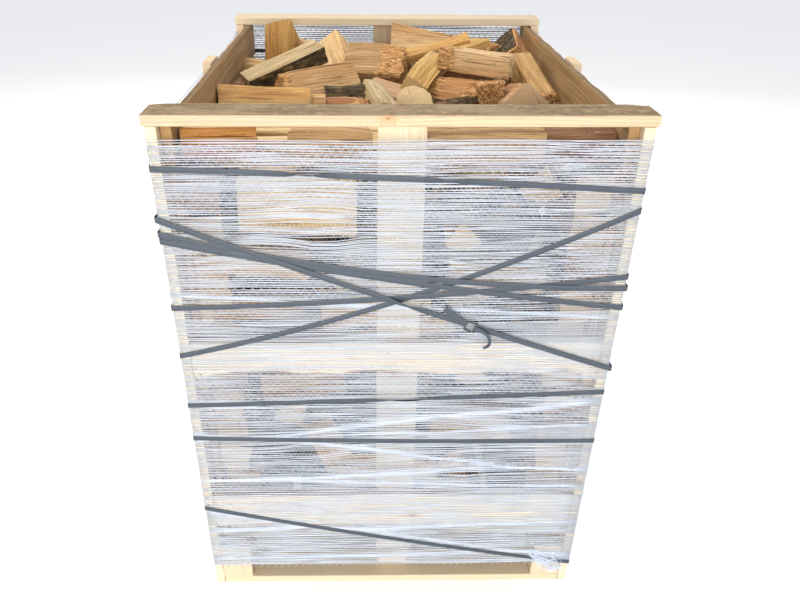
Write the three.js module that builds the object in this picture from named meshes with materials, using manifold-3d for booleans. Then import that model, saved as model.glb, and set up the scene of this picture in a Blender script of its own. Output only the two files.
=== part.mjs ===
// A palletised bundle of firewood: a slatted crate on a pallet, heaped with split logs,
// wound with knitted net and tied round with strapping.
//
// Millimetres, +Z up. The origin is on the ground at the middle of the crate. X runs across the
// front and Y runs from the front to the back.

import * as THREE from "three";
import Module from "manifold-3d";
import { mergeVertices } from "three/addons/utils/BufferGeometryUtils.js";

const wasm = await Module();
wasm.setup();

// ---------------------------------------------------------------- driving dimensions

const CLEARANCE = 0.3; // between pieces that touch
const BOARD = 22.5; // thickness of every sawn board
const BOARD_WIDTH = 98; // width of the posts, uprights and foot boards

const SIDE_FACE = 496; // outer face of the posts, from the middle
const FRONT_FACE = 605; // outer face of the front and back boards, from the middle
const RAIL_TOP = 1340; // upper face of the top rails
const RAIL_HALF_LENGTH = 501;
const RAIL_DEPTH = 84;
const RAIL_FRONT = 610; // outer edge of the rails, from the middle

const UPRIGHT_OFFSET = 3; // the centre uprights stand a little to the right of the middle
const UPRIGHT_FOOT = 90;

const FRONT_BOARDS = { middle: [721, 814], bottom: [232, 337] };
const SIDE_BOARDS = { top: [1216, 1317], middle: [655, 753], bottom: [190, 288] };

const BLOCK_HEIGHT = 119;
const BLOCK_WIDTH = 80;
const BLOCK_LENGTH = 98;
const DECK_BOARD_COUNT = 5;
const DECK_BOARD_WIDTH = 160;

const NET_THICKNESS = 1.5; // all the turns of net together, pulled tight
const NET_BOTTOM = 72;
const NET_TOP = 1292;
const CORNER_STEPS = 3; // facets where net and straps turn a corner of the posts
const RUN_STEPS = 6; // stretches of a band between corners, across the front and the back

const STRAP_WIDTH = 13;
const STRAP_THICKNESS = 0.8;
const STRAP_LAYER = STRAP_THICKNESS + CLEARANCE; // one strap over another

const BUCKLE_WIRE = 2.4;
const BUCKLE_SIZE = [30, 25]; // along the strap and across it
const BUCKLE_AT = [165, 864]; // x and z of its middle

const HEAP_CELLS = [12, 15]; // steps of the heap's lumpy top, across and along
const HEAP_LEVEL = 1192; // mean height of the logs below the topmost ones
const HEAP_LUMP = 7; // rise and fall of the heap between the logs that stick out of it
const LOG_CLEARANCE = 0.4;

// ---------------------------------------------------------------- finishes

const FINISHES = {
  sawnPine: { color: 0xe9cf9c, roughness: 0.78 },
  weatheredPine: { color: 0xa58c66, roughness: 0.86 },
  splitWood: { color: 0xd2a568, roughness: 0.82 },
  net: { color: 0xdde4ee, roughness: 0.55 },
  strap: { color: 0x47525f, roughness: 0.5 },
  steel: { color: 0xa9acb0, roughness: 0.35, metalness: 0.9 },
};

const bundle = new THREE.Group();

// Adds one named piece, with a material of its own, to the bundle.
function addPiece(name, geometry, finish) {
  const mesh = new THREE.Mesh(geometry, new THREE.MeshStandardMaterial(FINISHES[finish]));
  mesh.name = name;
  bundle.add(mesh);
  return mesh;
}

// Adds a sawn board that fills the box between two corners.
function addBoard(name, low, high, finish = "sawnPine") {
  const size = high.map((value, axis) => value - low[axis]);
  const board = addPiece(name, new THREE.BoxGeometry(...size), finish);
  board.position.set(...low.map((value, axis) => value + size[axis] / 2));
  return board;
}

// ---------------------------------------------------------------- booleans

function toManifold(geometry) {
  const plain = geometry.clone();
  plain.deleteAttribute("normal");
  plain.deleteAttribute("uv");
  const merged = mergeVertices(plain);
  return new wasm.Manifold(new wasm.Mesh({
    numProp: 3,
    vertProperties: new Float32Array(merged.attributes.position.array),
    triVerts: new Uint32Array(merged.index.array),
  }));
}

function fromManifold(solid) {
  const { vertProperties, triVerts } = solid.getMesh();
  const geometry = new THREE.BufferGeometry();
  geometry.setAttribute("position", new THREE.BufferAttribute(vertProperties, 3));
  geometry.setIndex(new THREE.BufferAttribute(triVerts, 1));
  return geometry;
}

// The largest of the separate bodies that a cut may leave.
function largestBody(solid) {
  const bodies = solid.decompose();
  return bodies.reduce((best, body) => (body.volume() > best.volume() ? body : best));
}

// ---------------------------------------------------------------- crate

const RAIL_UNDERSIDE = RAIL_TOP - BOARD;
const POST_TOP = RAIL_UNDERSIDE - CLEARANCE;
const POST_INNER = SIDE_FACE - BOARD;
const SIDE_BOARD_OUTER = POST_INNER - CLEARANCE;
const SIDE_BOARD_INNER = SIDE_BOARD_OUTER - BOARD;
const FRONT_BOARD_INNER = FRONT_FACE - BOARD;
const UPRIGHT_OUTER = FRONT_BOARD_INNER - CLEARANCE;
const UPRIGHT_INNER = UPRIGHT_OUTER - BOARD;
const SIDES = { left: -1, right: 1 };
const ENDS = { front: -1, back: 1 };

// A pair of box limits along one axis, mirrored to the side that the sign gives.
function span(near, far, sign) {
  return sign > 0 ? [near, far] : [-far, -near];
}

for (const [end, sign] of Object.entries(ENDS)) {
  const railY = span(RAIL_FRONT - RAIL_DEPTH, RAIL_FRONT, sign);
  addBoard(
    `rail_${end}`,
    [-RAIL_HALF_LENGTH, railY[0], RAIL_UNDERSIDE],
    [RAIL_HALF_LENGTH, railY[1], RAIL_TOP],
    "weatheredPine",
  );

  const uprightY = span(UPRIGHT_INNER, UPRIGHT_OUTER, sign);
  addBoard(
    `upright_${end}`,
    [UPRIGHT_OFFSET - BOARD_WIDTH / 2, uprightY[0], UPRIGHT_FOOT],
    [UPRIGHT_OFFSET + BOARD_WIDTH / 2, uprightY[1], POST_TOP],
  );

  const boardY = span(FRONT_BOARD_INNER, FRONT_FACE, sign);
  const boardEnd = POST_INNER - CLEARANCE;
  for (const [level, [low, high]] of Object.entries(FRONT_BOARDS)) {
    addBoard(`${end}_board_${level}`, [-boardEnd, boardY[0], low], [boardEnd, boardY[1], high]);
  }
}

const POST_PLACES = {
  front: [-FRONT_FACE, -FRONT_FACE + BOARD_WIDTH],
  middle: [-BOARD_WIDTH / 2, BOARD_WIDTH / 2],
  back: [FRONT_FACE - BOARD_WIDTH, FRONT_FACE],
};

for (const [side, sign] of Object.entries(SIDES)) {
  const postX = span(POST_INNER, SIDE_FACE, sign);
  for (const [place, [near, far]] of Object.entries(POST_PLACES)) {
    addBoard(`post_${side}_${place}`, [postX[0], near, 0], [postX[1], far, POST_TOP]);
  }

  const boardX = span(SIDE_BOARD_INNER, SIDE_BOARD_OUTER, sign);
  const boardEnd = FRONT_BOARD_INNER - CLEARANCE;
  for (const [level, [low, high]] of Object.entries(SIDE_BOARDS)) {
    addBoard(`${side}_board_${level}`, [boardX[0], -boardEnd, low], [boardX[1], boardEnd, high]);
  }
}

// ---------------------------------------------------------------- pallet

const FOOT_TOP = BOARD;
const BLOCK_BOTTOM = FOOT_TOP + CLEARANCE;
const BLOCK_TOP = BLOCK_BOTTOM + BLOCK_HEIGHT;
const STRINGER_BOTTOM = BLOCK_TOP + CLEARANCE;
const STRINGER_TOP = STRINGER_BOTTOM + BOARD;
const DECK_BOTTOM = STRINGER_TOP + CLEARANCE;
const DECK_TOP = DECK_BOTTOM + BOARD;
const PALLET_HALF_WIDTH = POST_INNER - CLEARANCE;
const DECK_HALF_WIDTH = SIDE_BOARD_INNER - CLEARANCE;
const DECK_HALF_LENGTH = UPRIGHT_INNER - CLEARANCE;

const PALLET_ROWS = {
  front: [-FRONT_FACE, -FRONT_FACE + BLOCK_LENGTH],
  middle: [-BLOCK_LENGTH / 2, BLOCK_LENGTH / 2],
  back: [FRONT_FACE - BLOCK_LENGTH, FRONT_FACE],
};
const BLOCK_COLUMNS = {
  left: -PALLET_HALF_WIDTH,
  centre: -BLOCK_WIDTH / 2,
  right: PALLET_HALF_WIDTH - BLOCK_WIDTH,
};

// The outer rows stop short of the uprights, which hang down past the stringers.
function insetRow([near, far]) {
  const limit = DECK_HALF_LENGTH;
  return [Math.max(near, -limit), Math.min(far, limit)];
}

for (const [row, [near, far]] of Object.entries(PALLET_ROWS)) {
  const [innerNear, innerFar] = insetRow([near, far]);
  addBoard(`foot_board_${row}`, [-PALLET_HALF_WIDTH, near, 0], [PALLET_HALF_WIDTH, far, FOOT_TOP]);
  for (const [column, x] of Object.entries(BLOCK_COLUMNS)) {
    const blockY = column === "centre" ? [innerNear, innerFar] : [near, far];
    addBoard(
      `block_${row}_${column}`,
      [x, blockY[0], BLOCK_BOTTOM],
      [x + BLOCK_WIDTH, blockY[1], BLOCK_TOP],
    );
  }
  addBoard(
    `stringer_${row}`,
    [-PALLET_HALF_WIDTH, innerNear, STRINGER_BOTTOM],
    [PALLET_HALF_WIDTH, innerFar, STRINGER_TOP],
  );
}

const DECK_PITCH = (2 * DECK_HALF_WIDTH - DECK_BOARD_WIDTH) / (DECK_BOARD_COUNT - 1);
for (let i = 0; i < DECK_BOARD_COUNT; i += 1) {
  const x = -DECK_HALF_WIDTH + i * DECK_PITCH;
  addBoard(
    `deck_board_${i + 1}`,
    [x, -DECK_HALF_LENGTH, DECK_BOTTOM],
    [x + DECK_BOARD_WIDTH, DECK_HALF_LENGTH, DECK_TOP],
  );
}

// ---------------------------------------------------------------- paths round the crate

// Points of a rounded rectangle that stands the given distance outside the crate, starting at
// the front left corner and going round by the front right. Each says which corner it has
// passed, and how far it has travelled towards the next one.
function loopRoundCrate(distance) {
  const centres = [[-1, -1], [1, -1], [1, 1], [-1, 1]];
  const points = [];
  centres.forEach(([signX, signY], corner) => {
    for (let step = 0; step <= CORNER_STEPS; step += 1) {
      const angle = Math.PI * (1 + corner / 2) + (Math.PI / 2) * (step / CORNER_STEPS);
      const outward = new THREE.Vector2(Math.cos(angle), Math.sin(angle));
      points.push({
        x: signX * SIDE_FACE + outward.x * distance,
        y: signY * FRONT_FACE + outward.y * distance,
        corner,
        travel: 0,
      });
    }
    const across = corner % 2 === 0;
    for (let step = 1; across && step < RUN_STEPS; step += 1) {
      const travel = step / RUN_STEPS;
      const x = signX * SIDE_FACE * (1 - 2 * travel);
      points.push({ x, y: signY * (FRONT_FACE + distance), corner, travel });
    }
  });
  return points;
}

// A closed band round the crate, with a rectangular section. Heights gives its middle at the
// front left, front right, back right and back left corners, and it sags between the corners at
// the front and the back.
function bandGeometry(distance, thickness, width, heights, sag = 0) {
  const inner = loopRoundCrate(distance);
  const outer = loopRoundCrate(distance + thickness);
  const positions = [];
  inner.forEach((point, i) => {
    const { corner, travel } = point;
    const level = THREE.MathUtils.lerp(heights[corner], heights[(corner + 1) % 4], travel);
    const z = level - 4 * sag * travel * (1 - travel);
    positions.push(point.x, point.y, z - width / 2, outer[i].x, outer[i].y, z - width / 2);
    positions.push(outer[i].x, outer[i].y, z + width / 2, point.x, point.y, z + width / 2);
  });
  const index = [];
  const count = inner.length;
  for (let i = 0; i < count; i += 1) {
    for (let side = 0; side < 4; side += 1) {
      const next = (side + 1) % 4;
      const here = 4 * i;
      const ahead = 4 * ((i + 1) % count);
      index.push(here + side, ahead + side, ahead + next);
      index.push(here + side, ahead + next, here + next);
    }
  }
  const geometry = new THREE.BufferGeometry();
  geometry.setAttribute("position", new THREE.Float32BufferAttribute(positions, 3));
  geometry.setIndex(index);
  return geometry;
}

// ---------------------------------------------------------------- net

const netHeight = NET_TOP - NET_BOTTOM;
const netMiddle = (NET_TOP + NET_BOTTOM) / 2;
addPiece(
  "net_wrap",
  bandGeometry(CLEARANCE, NET_THICKNESS, netHeight, Array(4).fill(netMiddle)),
  "net",
);

// ---------------------------------------------------------------- strapping

// Each strap's height at the front left, front right, back right and back left corners, the
// layer it lies in where straps cross, and how far it sags.
const STRAPS = [
  { name: "strap_top", heights: [1231, 1185, 1196, 1222], layer: 0, sag: -4 },
  { name: "strap_diagonal_down", heights: [1124, 746, 790, 1090], layer: 4, sag: 8 },
  { name: "strap_double_upper", heights: [1090, 960, 985, 1060], layer: 3, sag: 32 },
  { name: "strap_double_lower", heights: [1074, 911, 930, 1035], layer: 2, sag: 13 },
  { name: "strap_cross_low", heights: [911, 988, 970, 925], layer: 1, sag: 13 },
  { name: "strap_diagonal_up", heights: [783, 1142, 1100, 820], layer: 0, sag: 34 },
  { name: "strap_upper_middle", heights: [639, 675, 668, 645], layer: 0, sag: 2 },
  { name: "strap_lower_middle", heights: [537, 523, 520, 532], layer: 0, sag: 5 },
  { name: "strap_bottom", heights: [296, 76, 110, 270], layer: 0, sag: 10 },
];
const STRAP_START = CLEARANCE + NET_THICKNESS + CLEARANCE;

for (const { name, heights, layer, sag } of STRAPS) {
  const distance = STRAP_START + layer * STRAP_LAYER;
  addPiece(name, bandGeometry(distance, STRAP_THICKNESS, STRAP_WIDTH, heights, sag), "strap");
}

// ---------------------------------------------------------------- buckle

// A flat wire frame with a middle bar, lying on the diagonal strap.
function buckleGeometry() {
  const [length, width] = BUCKLE_SIZE;
  const slotLength = (length - 3 * BUCKLE_WIRE) / 2;
  const slot = new THREE.BoxGeometry(slotLength, width - 2 * BUCKLE_WIRE, 2 * BUCKLE_WIRE);
  const slotSolid = toManifold(slot);
  let frame = toManifold(new THREE.BoxGeometry(length, width, BUCKLE_WIRE));
  for (const side of [-1, 1]) {
    frame = frame.subtract(slotSolid.translate([(side * (slotLength + BUCKLE_WIRE)) / 2, 0, 0]));
  }
  return fromManifold(frame);
}

const [, diagonal] = STRAPS;
const diagonalSlope = (diagonal.heights[1] - diagonal.heights[0]) / (2 * SIDE_FACE);
const strapsStack = STRAP_START + (diagonal.layer + 1) * STRAP_LAYER;
const buckle = addPiece("buckle", buckleGeometry(), "steel");
const buckleDistance = FRONT_FACE + strapsStack + BUCKLE_WIRE / 2;
buckle.position.set(BUCKLE_AT[0], -buckleDistance, BUCKLE_AT[1]);
buckle.rotation.set(Math.PI / 2, 0, Math.atan(diagonalSlope));

// ---------------------------------------------------------------- split logs

// Sections of a split log, drawn about their middle with the bark side up.
// A wedge is a slice of a round trunk. A slab is sawn or split flat on every side.
function wedgeSection(radius, sweepDegrees) {
  const sweep = THREE.MathUtils.degToRad(sweepDegrees);
  const steps = Math.max(3, Math.round(sweepDegrees / 18));
  const lift = 0.6 * radius;
  const section = [new THREE.Vector2(0, -lift)];
  for (let step = 0; step <= steps; step += 1) {
    const angle = Math.PI / 2 - sweep / 2 + (sweep * step) / steps;
    section.push(new THREE.Vector2(radius * Math.cos(angle), radius * Math.sin(angle) - lift));
  }
  return section;
}

function slabSection(width, height, topWidth = width) {
  return [
    new THREE.Vector2(-width / 2, -height / 2),
    new THREE.Vector2(width / 2, -height / 2),
    new THREE.Vector2(topWidth / 2, height / 2),
    new THREE.Vector2(-topWidth / 2, height / 2),
  ];
}

// A prism with the given section from one point to another, turned about its length.
function logGeometry(section, from, to, rollDegrees, endScale = 1) {
  const start = new THREE.Vector3(...from);
  const along = new THREE.Vector3(...to).sub(start);
  const forward = along.clone().normalize();
  const upright = Math.abs(forward.z) > 0.8;
  const upHint = upright ? new THREE.Vector3(0, 1, 0) : new THREE.Vector3(0, 0, 1);
  const right = new THREE.Vector3().crossVectors(forward, upHint).normalize();
  const up = new THREE.Vector3().crossVectors(right, forward);
  const roll = THREE.MathUtils.degToRad(rollDegrees);
  const turned = section.map((point) => point.clone().rotateAround(new THREE.Vector2(), roll));
  const positions = [];
  for (const [travel, scale] of [[0, 1], [1, endScale]]) {
    for (const point of turned) {
      const corner = start.clone().addScaledVector(along, travel);
      corner.addScaledVector(right, point.x * scale).addScaledVector(up, point.y * scale);
      positions.push(corner.x, corner.y, corner.z);
    }
  }
  const count = section.length;
  const index = [];
  for (let i = 0; i < count; i += 1) {
    const next = (i + 1) % count;
    index.push(i, count + next, next, i, count + i, count + next);
  }
  for (let i = 1; i < count - 1; i += 1) {
    index.push(0, i, i + 1, count, count + i + 1, count + i);
  }
  const geometry = new THREE.BufferGeometry();
  geometry.setAttribute("position", new THREE.Float32BufferAttribute(positions, 3));
  geometry.setIndex(index);
  return geometry;
}

// The topmost logs. Each lies from one end's middle to the other's.
const TOP_LOGS = [
  {
    name: "log_front_left",
    section: wedgeSection(105, 66),
    from: [-446, -118, 1217],
    to: [-212, -122, 1212],
    roll: 176,
  },
  {
    name: "log_bark_diagonal",
    section: slabSection(66, 52),
    from: [-409, 95, 1225],
    to: [-206, 221, 1296],
    roll: -8,
  },
  {
    name: "log_upright",
    section: slabSection(96, 84),
    from: [-348, 462, 1105],
    to: [-338, 484, 1346],
    roll: 26,
    endScale: 0.7,
  },
  {
    name: "log_big_split",
    section: wedgeSection(90, 80),
    from: [-306, 28, 1222],
    to: [-112, 165, 1226],
    roll: 182,
  },
  {
    name: "log_rotten_end",
    section: slabSection(150, 84, 130),
    from: [-156, 345, 1222],
    to: [42, 298, 1222],
    roll: -30,
  },
  {
    name: "log_triangle",
    section: wedgeSection(92, 62),
    from: [12, 448, 1285],
    to: [220, 428, 1287],
    roll: 180,
    endScale: 0.25,
  },
  {
    name: "log_cream_block",
    section: slabSection(66, 60),
    from: [160, 195, 1284],
    to: [334, 96, 1278],
    roll: 4,
  },
  {
    name: "log_right_wall",
    section: slabSection(64, 60, 56),
    from: [388, 226, 1262],
    to: [416, -48, 1206],
    roll: -6,
  },
];

// Copies a solid, slightly larger about its own middle, to cut room for it in a neighbour.
function withClearance(solid) {
  const { min, max } = solid.boundingBox();
  const middle = min.map((value, axis) => (value + max[axis]) / 2);
  const smallest = Math.min(...min.map((value, axis) => max[axis] - value));
  const scale = 1 + (4 * LOG_CLEARANCE) / smallest;
  const back = middle.map((value) => -value);
  return solid.translate(back).scale(scale).translate(middle);
}

const placedLogs = [];
for (const { name, section, from, to, roll, endScale } of TOP_LOGS) {
  let log = toManifold(logGeometry(section, from, to, roll, endScale));
  for (const earlier of placedLogs) {
    log = log.subtract(withClearance(earlier));
  }
  log = largestBody(log);
  placedLogs.push(log);
  addPiece(name, fromManifold(log), "splitWood");
}

// ---------------------------------------------------------------- heap of logs

// A repeatable number between -1 and 1 for a pair of whole numbers.
function scatter(i, j) {
  const wave = Math.sin(i * 127.1 + j * 311.7) * 43758.5453;
  return 2 * (wave - Math.floor(wave)) - 1;
}

// The heap fills the crate from the deck to a lumpy top.
function heapGeometry() {
  const [columns, rows] = HEAP_CELLS;
  const halfWidth = SIDE_BOARD_INNER - CLEARANCE;
  const halfLength = UPRIGHT_INNER - CLEARANCE;
  const bottom = DECK_TOP + CLEARANCE;
  const positions = [];
  for (const layer of [0, 1]) {
    for (let j = 0; j <= rows; j += 1) {
      for (let i = 0; i <= columns; i += 1) {
        const top = HEAP_LEVEL + HEAP_LUMP * scatter(i, j);
        positions.push(
          halfWidth * ((2 * i) / columns - 1),
          halfLength * ((2 * j) / rows - 1),
          layer ? top : bottom,
        );
      }
    }
  }
  const across = columns + 1;
  const layerSize = across * (rows + 1);
  const index = [];
  for (let j = 0; j < rows; j += 1) {
    for (let i = 0; i < columns; i += 1) {
      const a = j * across + i;
      const b = a + 1;
      const c = a + across;
      const d = c + 1;
      index.push(a, d, b, a, c, d);
      index.push(layerSize + a, layerSize + b, layerSize + d);
      index.push(layerSize + a, layerSize + d, layerSize + c);
    }
  }
  const border = [];
  for (let i = 0; i < columns; i += 1) {
    border.push([i, i + 1]);
  }
  for (let j = 0; j < rows; j += 1) {
    border.push([columns + j * across, columns + (j + 1) * across]);
  }
  for (let i = columns; i > 0; i -= 1) {
    border.push([rows * across + i, rows * across + i - 1]);
  }
  for (let j = rows; j > 0; j -= 1) {
    border.push([j * across, (j - 1) * across]);
  }
  for (const [a, b] of border) {
    index.push(a, b, layerSize + b, a, layerSize + b, layerSize + a);
  }
  const geometry = new THREE.BufferGeometry();
  geometry.setAttribute("position", new THREE.Float32BufferAttribute(positions, 3));
  geometry.setIndex(index);
  return geometry;
}

// The lesser logs that stick out of the heap's top, which belong to its solid.
const HEAP_CRESTS = [
  { section: slabSection(105, 56), from: [-188, 478, 1276], to: [-142, 300, 1186], roll: 0 },
  { section: slabSection(60, 50), from: [-300, 520, 1252], to: [-222, 450, 1240], roll: 10 },
  { section: wedgeSection(70, 80), from: [-442, 355, 1196], to: [-318, 300, 1196], roll: 0 },
  { section: slabSection(66, 54), from: [-440, 35, 1178], to: [-330, -5, 1182], roll: 20 },
  { section: slabSection(62, 52, 46), from: [-56, 52, 1226], to: [-14, -185, 1222], roll: 12 },
  { section: slabSection(76, 60), from: [-30, 140, 1192], to: [150, -20, 1188], roll: -15 },
  { section: wedgeSection(84, 84), from: [-200, -45, 1194], to: [-62, -70, 1200], roll: 8 },
  { section: wedgeSection(47, 180), from: [54, -98, 1250], to: [84, 125, 1228], roll: 0 },
  { section: wedgeSection(80, 108), from: [344, -128, 1235], to: [330, 105, 1215], roll: 182 },
  { section: slabSection(72, 60), from: [266, -52, 1243], to: [280, 150, 1222], roll: 8 },
  { section: wedgeSection(60, 84), from: [150, -80, 1200], to: [216, 60, 1202], roll: 30 },
  { section: wedgeSection(70, 120), from: [112, 172, 1212], to: [256, 62, 1210], roll: -10 },
  { section: slabSection(70, 46), from: [66, 84, 1222], to: [146, 262, 1258], roll: -24 },
  { section: slabSection(42, 26), from: [36, 345, 1250], to: [252, 402, 1296], roll: -20 },
  { section: slabSection(38, 26), from: [84, 190, 1240], to: [204, 322, 1276], roll: -14 },
  { section: slabSection(76, 44), from: [196, 322, 1258], to: [300, 432, 1272], roll: 12 },
  { section: wedgeSection(60, 90), from: [258, 474, 1258], to: [338, 392, 1262], roll: 4 },
  { section: slabSection(36, 30), from: [268, 352, 1258], to: [348, 298, 1258], roll: -6 },
  { section: wedgeSection(92, 84), from: [410, 500, 1258], to: [392, 286, 1232], roll: 14 },
  { section: slabSection(64, 60), from: [-440, -518, 1260], to: [-300, -512, 1258], roll: 12 },
  { section: slabSection(76, 62, 60), from: [226, -512, 1252], to: [432, -500, 1256], roll: -10 },
];

// The room inside the crate, from the deck to above the rails.
function loadSpaceGeometry() {
  const width = 2 * (SIDE_BOARD_INNER - CLEARANCE);
  const length = 2 * (UPRIGHT_INNER - CLEARANCE);
  const bottom = DECK_TOP + CLEARANCE;
  const space = new THREE.BoxGeometry(width, length, RAIL_TOP - bottom);
  return space.translate(0, 0, (RAIL_TOP + bottom) / 2);
}

let heap = toManifold(heapGeometry());
for (const { section, from, to, roll } of HEAP_CRESTS) {
  heap = heap.add(toManifold(logGeometry(section, from, to, roll)));
}
heap = heap.intersect(toManifold(loadSpaceGeometry()));
for (const log of placedLogs) {
  heap = heap.subtract(withClearance(log));
}
addPiece("firewood_heap", fromManifold(largestBody(heap)), "splitWood");

export default bundle;
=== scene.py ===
# %% [markdown]
# # A palletised bundle of firewood
#
# The object is a slatted crate on a pallet, heaped with split logs, wound with white knitted net
# and tied round with slate-grey strapping. The construction comes as a fixed frame of plain
# solids. This lesson keeps every piece where the frame holds it, and gives each one the shape and
# the finish of the real thing: sawn pine with knots, split faces, bark, knitted strands, webbing.

# %% Load the frame
import math
import random

import bpy
import numpy as np
from mathutils import Matrix, Vector, noise


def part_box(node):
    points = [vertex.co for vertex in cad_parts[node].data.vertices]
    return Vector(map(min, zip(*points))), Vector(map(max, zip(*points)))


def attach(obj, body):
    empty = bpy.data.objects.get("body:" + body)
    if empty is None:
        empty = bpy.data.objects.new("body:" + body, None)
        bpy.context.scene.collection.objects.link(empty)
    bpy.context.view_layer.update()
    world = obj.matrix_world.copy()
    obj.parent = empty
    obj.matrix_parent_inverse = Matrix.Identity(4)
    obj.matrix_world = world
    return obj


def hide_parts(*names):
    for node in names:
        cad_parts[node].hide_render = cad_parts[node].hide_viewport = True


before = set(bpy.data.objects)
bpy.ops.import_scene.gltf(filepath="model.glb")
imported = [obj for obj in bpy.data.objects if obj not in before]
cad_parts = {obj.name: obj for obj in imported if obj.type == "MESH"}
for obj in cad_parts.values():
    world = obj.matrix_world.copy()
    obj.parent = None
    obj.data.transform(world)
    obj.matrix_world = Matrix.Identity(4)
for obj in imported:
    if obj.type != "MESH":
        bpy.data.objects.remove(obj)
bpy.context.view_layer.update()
scene = bpy.context.scene
MM = 0.001

# %% [markdown]
# ## The camera
#
# The crate is seen from in front and from eye height, with the camera looking down into it. A
# camera is an object whose matrix has four columns: what is right, what is up, what is behind it,
# and where it stands. It could be turned with a constraint that tracks a point. Writing the matrix
# out instead keeps the small turn and tilt of a camera held in the hand in plain sight.

# %% Place the camera
EYE = Vector((-0.065, -1.960, 1.721))
LOOK_DOWN = math.radians(30.28)
LOOK_RIGHT = math.radians(1.07)
TILT = math.radians(0.42)
LENS = 32.07
SENSOR = 36.0
SHIFT = 0.025


def camera_matrix():
    """The matrix of a camera that looks down, slightly right, and is held with a slight tilt."""
    level = math.cos(LOOK_DOWN)
    ahead = Vector((math.sin(LOOK_RIGHT) * level, math.cos(LOOK_RIGHT) * level, -math.sin(LOOK_DOWN)))
    right = Vector((math.cos(LOOK_RIGHT), -math.sin(LOOK_RIGHT), 0.0))
    up = right.cross(ahead)
    turned_right = right * math.cos(TILT) + up * math.sin(TILT)
    turned_up = up * math.cos(TILT) - right * math.sin(TILT)
    axes = Matrix((turned_right, turned_up, -ahead)).transposed()
    return Matrix.Translation(EYE) @ axes.to_4x4()


camera_data = bpy.data.cameras.new("camera")
camera_data.lens = LENS
camera_data.sensor_width = SENSOR
camera_data.shift_x = SHIFT
camera = bpy.data.objects.new("camera", camera_data)
camera.matrix_world = camera_matrix()
scene.collection.objects.link(camera)
scene.camera = camera
print("camera at", tuple(EYE), "lens", LENS)

# %% [markdown]
# ## Node trees written as Python
#
# A finish is a tree of shader nodes, and the net is a tree of geometry nodes. Both are easier to
# read as expressions. The Value class below wraps one socket and overloads the arithmetic
# operators, so that `1 - mask * 0.5` adds the Math nodes by itself. Every other node comes from
# one method, which sets the node's own settings first and then its sockets.

# %% A socket that does arithmetic
MATH = "ShaderNodeMath"


def operator(operation, reflected=False):
    """A method that adds a Math node. Reflected, the plain number comes first, as in 1 - mask."""
    if reflected:
        return lambda value, other: value.tree.node(MATH, {"operation": operation}, [other, value])
    return lambda value, other: value.math(operation, other)


class Value:
    """One output socket of a node tree. Arithmetic on it adds Math nodes to the tree."""

    def __init__(self, tree, socket):
        self.tree = tree
        self.socket = socket

    def math(self, operation, *others):
        return self.tree.node(MATH, {"operation": operation}, [self, *others])

    __add__ = __radd__ = operator("ADD")
    __mul__ = __rmul__ = operator("MULTIPLY")
    __sub__, __rsub__ = operator("SUBTRACT"), operator("SUBTRACT", reflected=True)
    __truediv__, __rtruediv__ = operator("DIVIDE"), operator("DIVIDE", reflected=True)
    __pow__ = operator("POWER")
    __mod__ = operator("FLOORED_MODULO")

print("a socket takes + - * / ** and %")

# %% A tree that makes its nodes in one way


class Tree:
    """A node tree, with one method that makes a node and a few for what is used most."""

    def __init__(self, tree):
        self.tree = tree

    def node(self, kind, settings=None, sockets=None, output=0):
        """Adds a node. Sockets is a list, or a dict by name or index. Gives one output."""
        made = self.tree.nodes.new(kind)
        for key, setting in (settings or {}).items():
            if key == "stops":
                self.set_stops(made.color_ramp, setting)
            else:
                setattr(made, key, setting)
        pairs = sockets.items() if isinstance(sockets, dict) else enumerate(sockets or [])
        for key, value in pairs:
            self.feed(made.inputs[key], value)
        return Value(self, made.outputs[output]) if len(made.outputs) else made

    def feed(self, socket, value):
        """Links a socket, or sets its plain value. A text is a colour's hex code."""
        if isinstance(value, Value):
            self.tree.links.new(value.socket, socket)
        elif value is not None:
            socket.default_value = colour(value) if isinstance(value, str) else value

    @staticmethod
    def set_stops(ramp, stops):
        """Gives a colour ramp its stops, each a place and a colour."""
        while len(ramp.elements) < len(stops):
            ramp.elements.new(1.0)
        for element, (place, code) in zip(ramp.elements, stops):
            element.position = place
            element.color = colour(code)

    def vector(self, operation, a, b):
        return self.node("ShaderNodeVectorMath", {"operation": operation}, [a, b])

    def combine(self, x, y, z):
        return self.node("ShaderNodeCombineXYZ", None, [x, y, z])

    def split(self, vector):
        return [self.node("ShaderNodeSeparateXYZ", None, [vector], i) for i in range(3)]

    def smooth(self, value, low, high):
        """0 below low, 1 above high, and an even curve between them."""
        settings = {"interpolation_type": "SMOOTHSTEP"}
        return self.node("ShaderNodeMapRange", settings, {"Value": value, 1: low, 2: high})

    def noise(self, vector, scale=1.0, detail=2.0, roughness=0.5, distortion=0.0):
        sockets = {"Vector": vector, "Scale": scale, "Detail": detail}
        sockets.update({"Roughness": roughness, "Distortion": distortion})
        return self.node("ShaderNodeTexNoise", None, sockets)

    def fibres(self, grain, across, along, detail, roughness=0.5, distortion=0.0):
        """Noise drawn out along the fibres, by its scales across them and along them."""
        stretched = self.vector("MULTIPLY", grain, (across, across, along))
        return self.noise(stretched, 1.0, detail, roughness, distortion)

print("one method makes every node")

# %% A tree for a material


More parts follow.
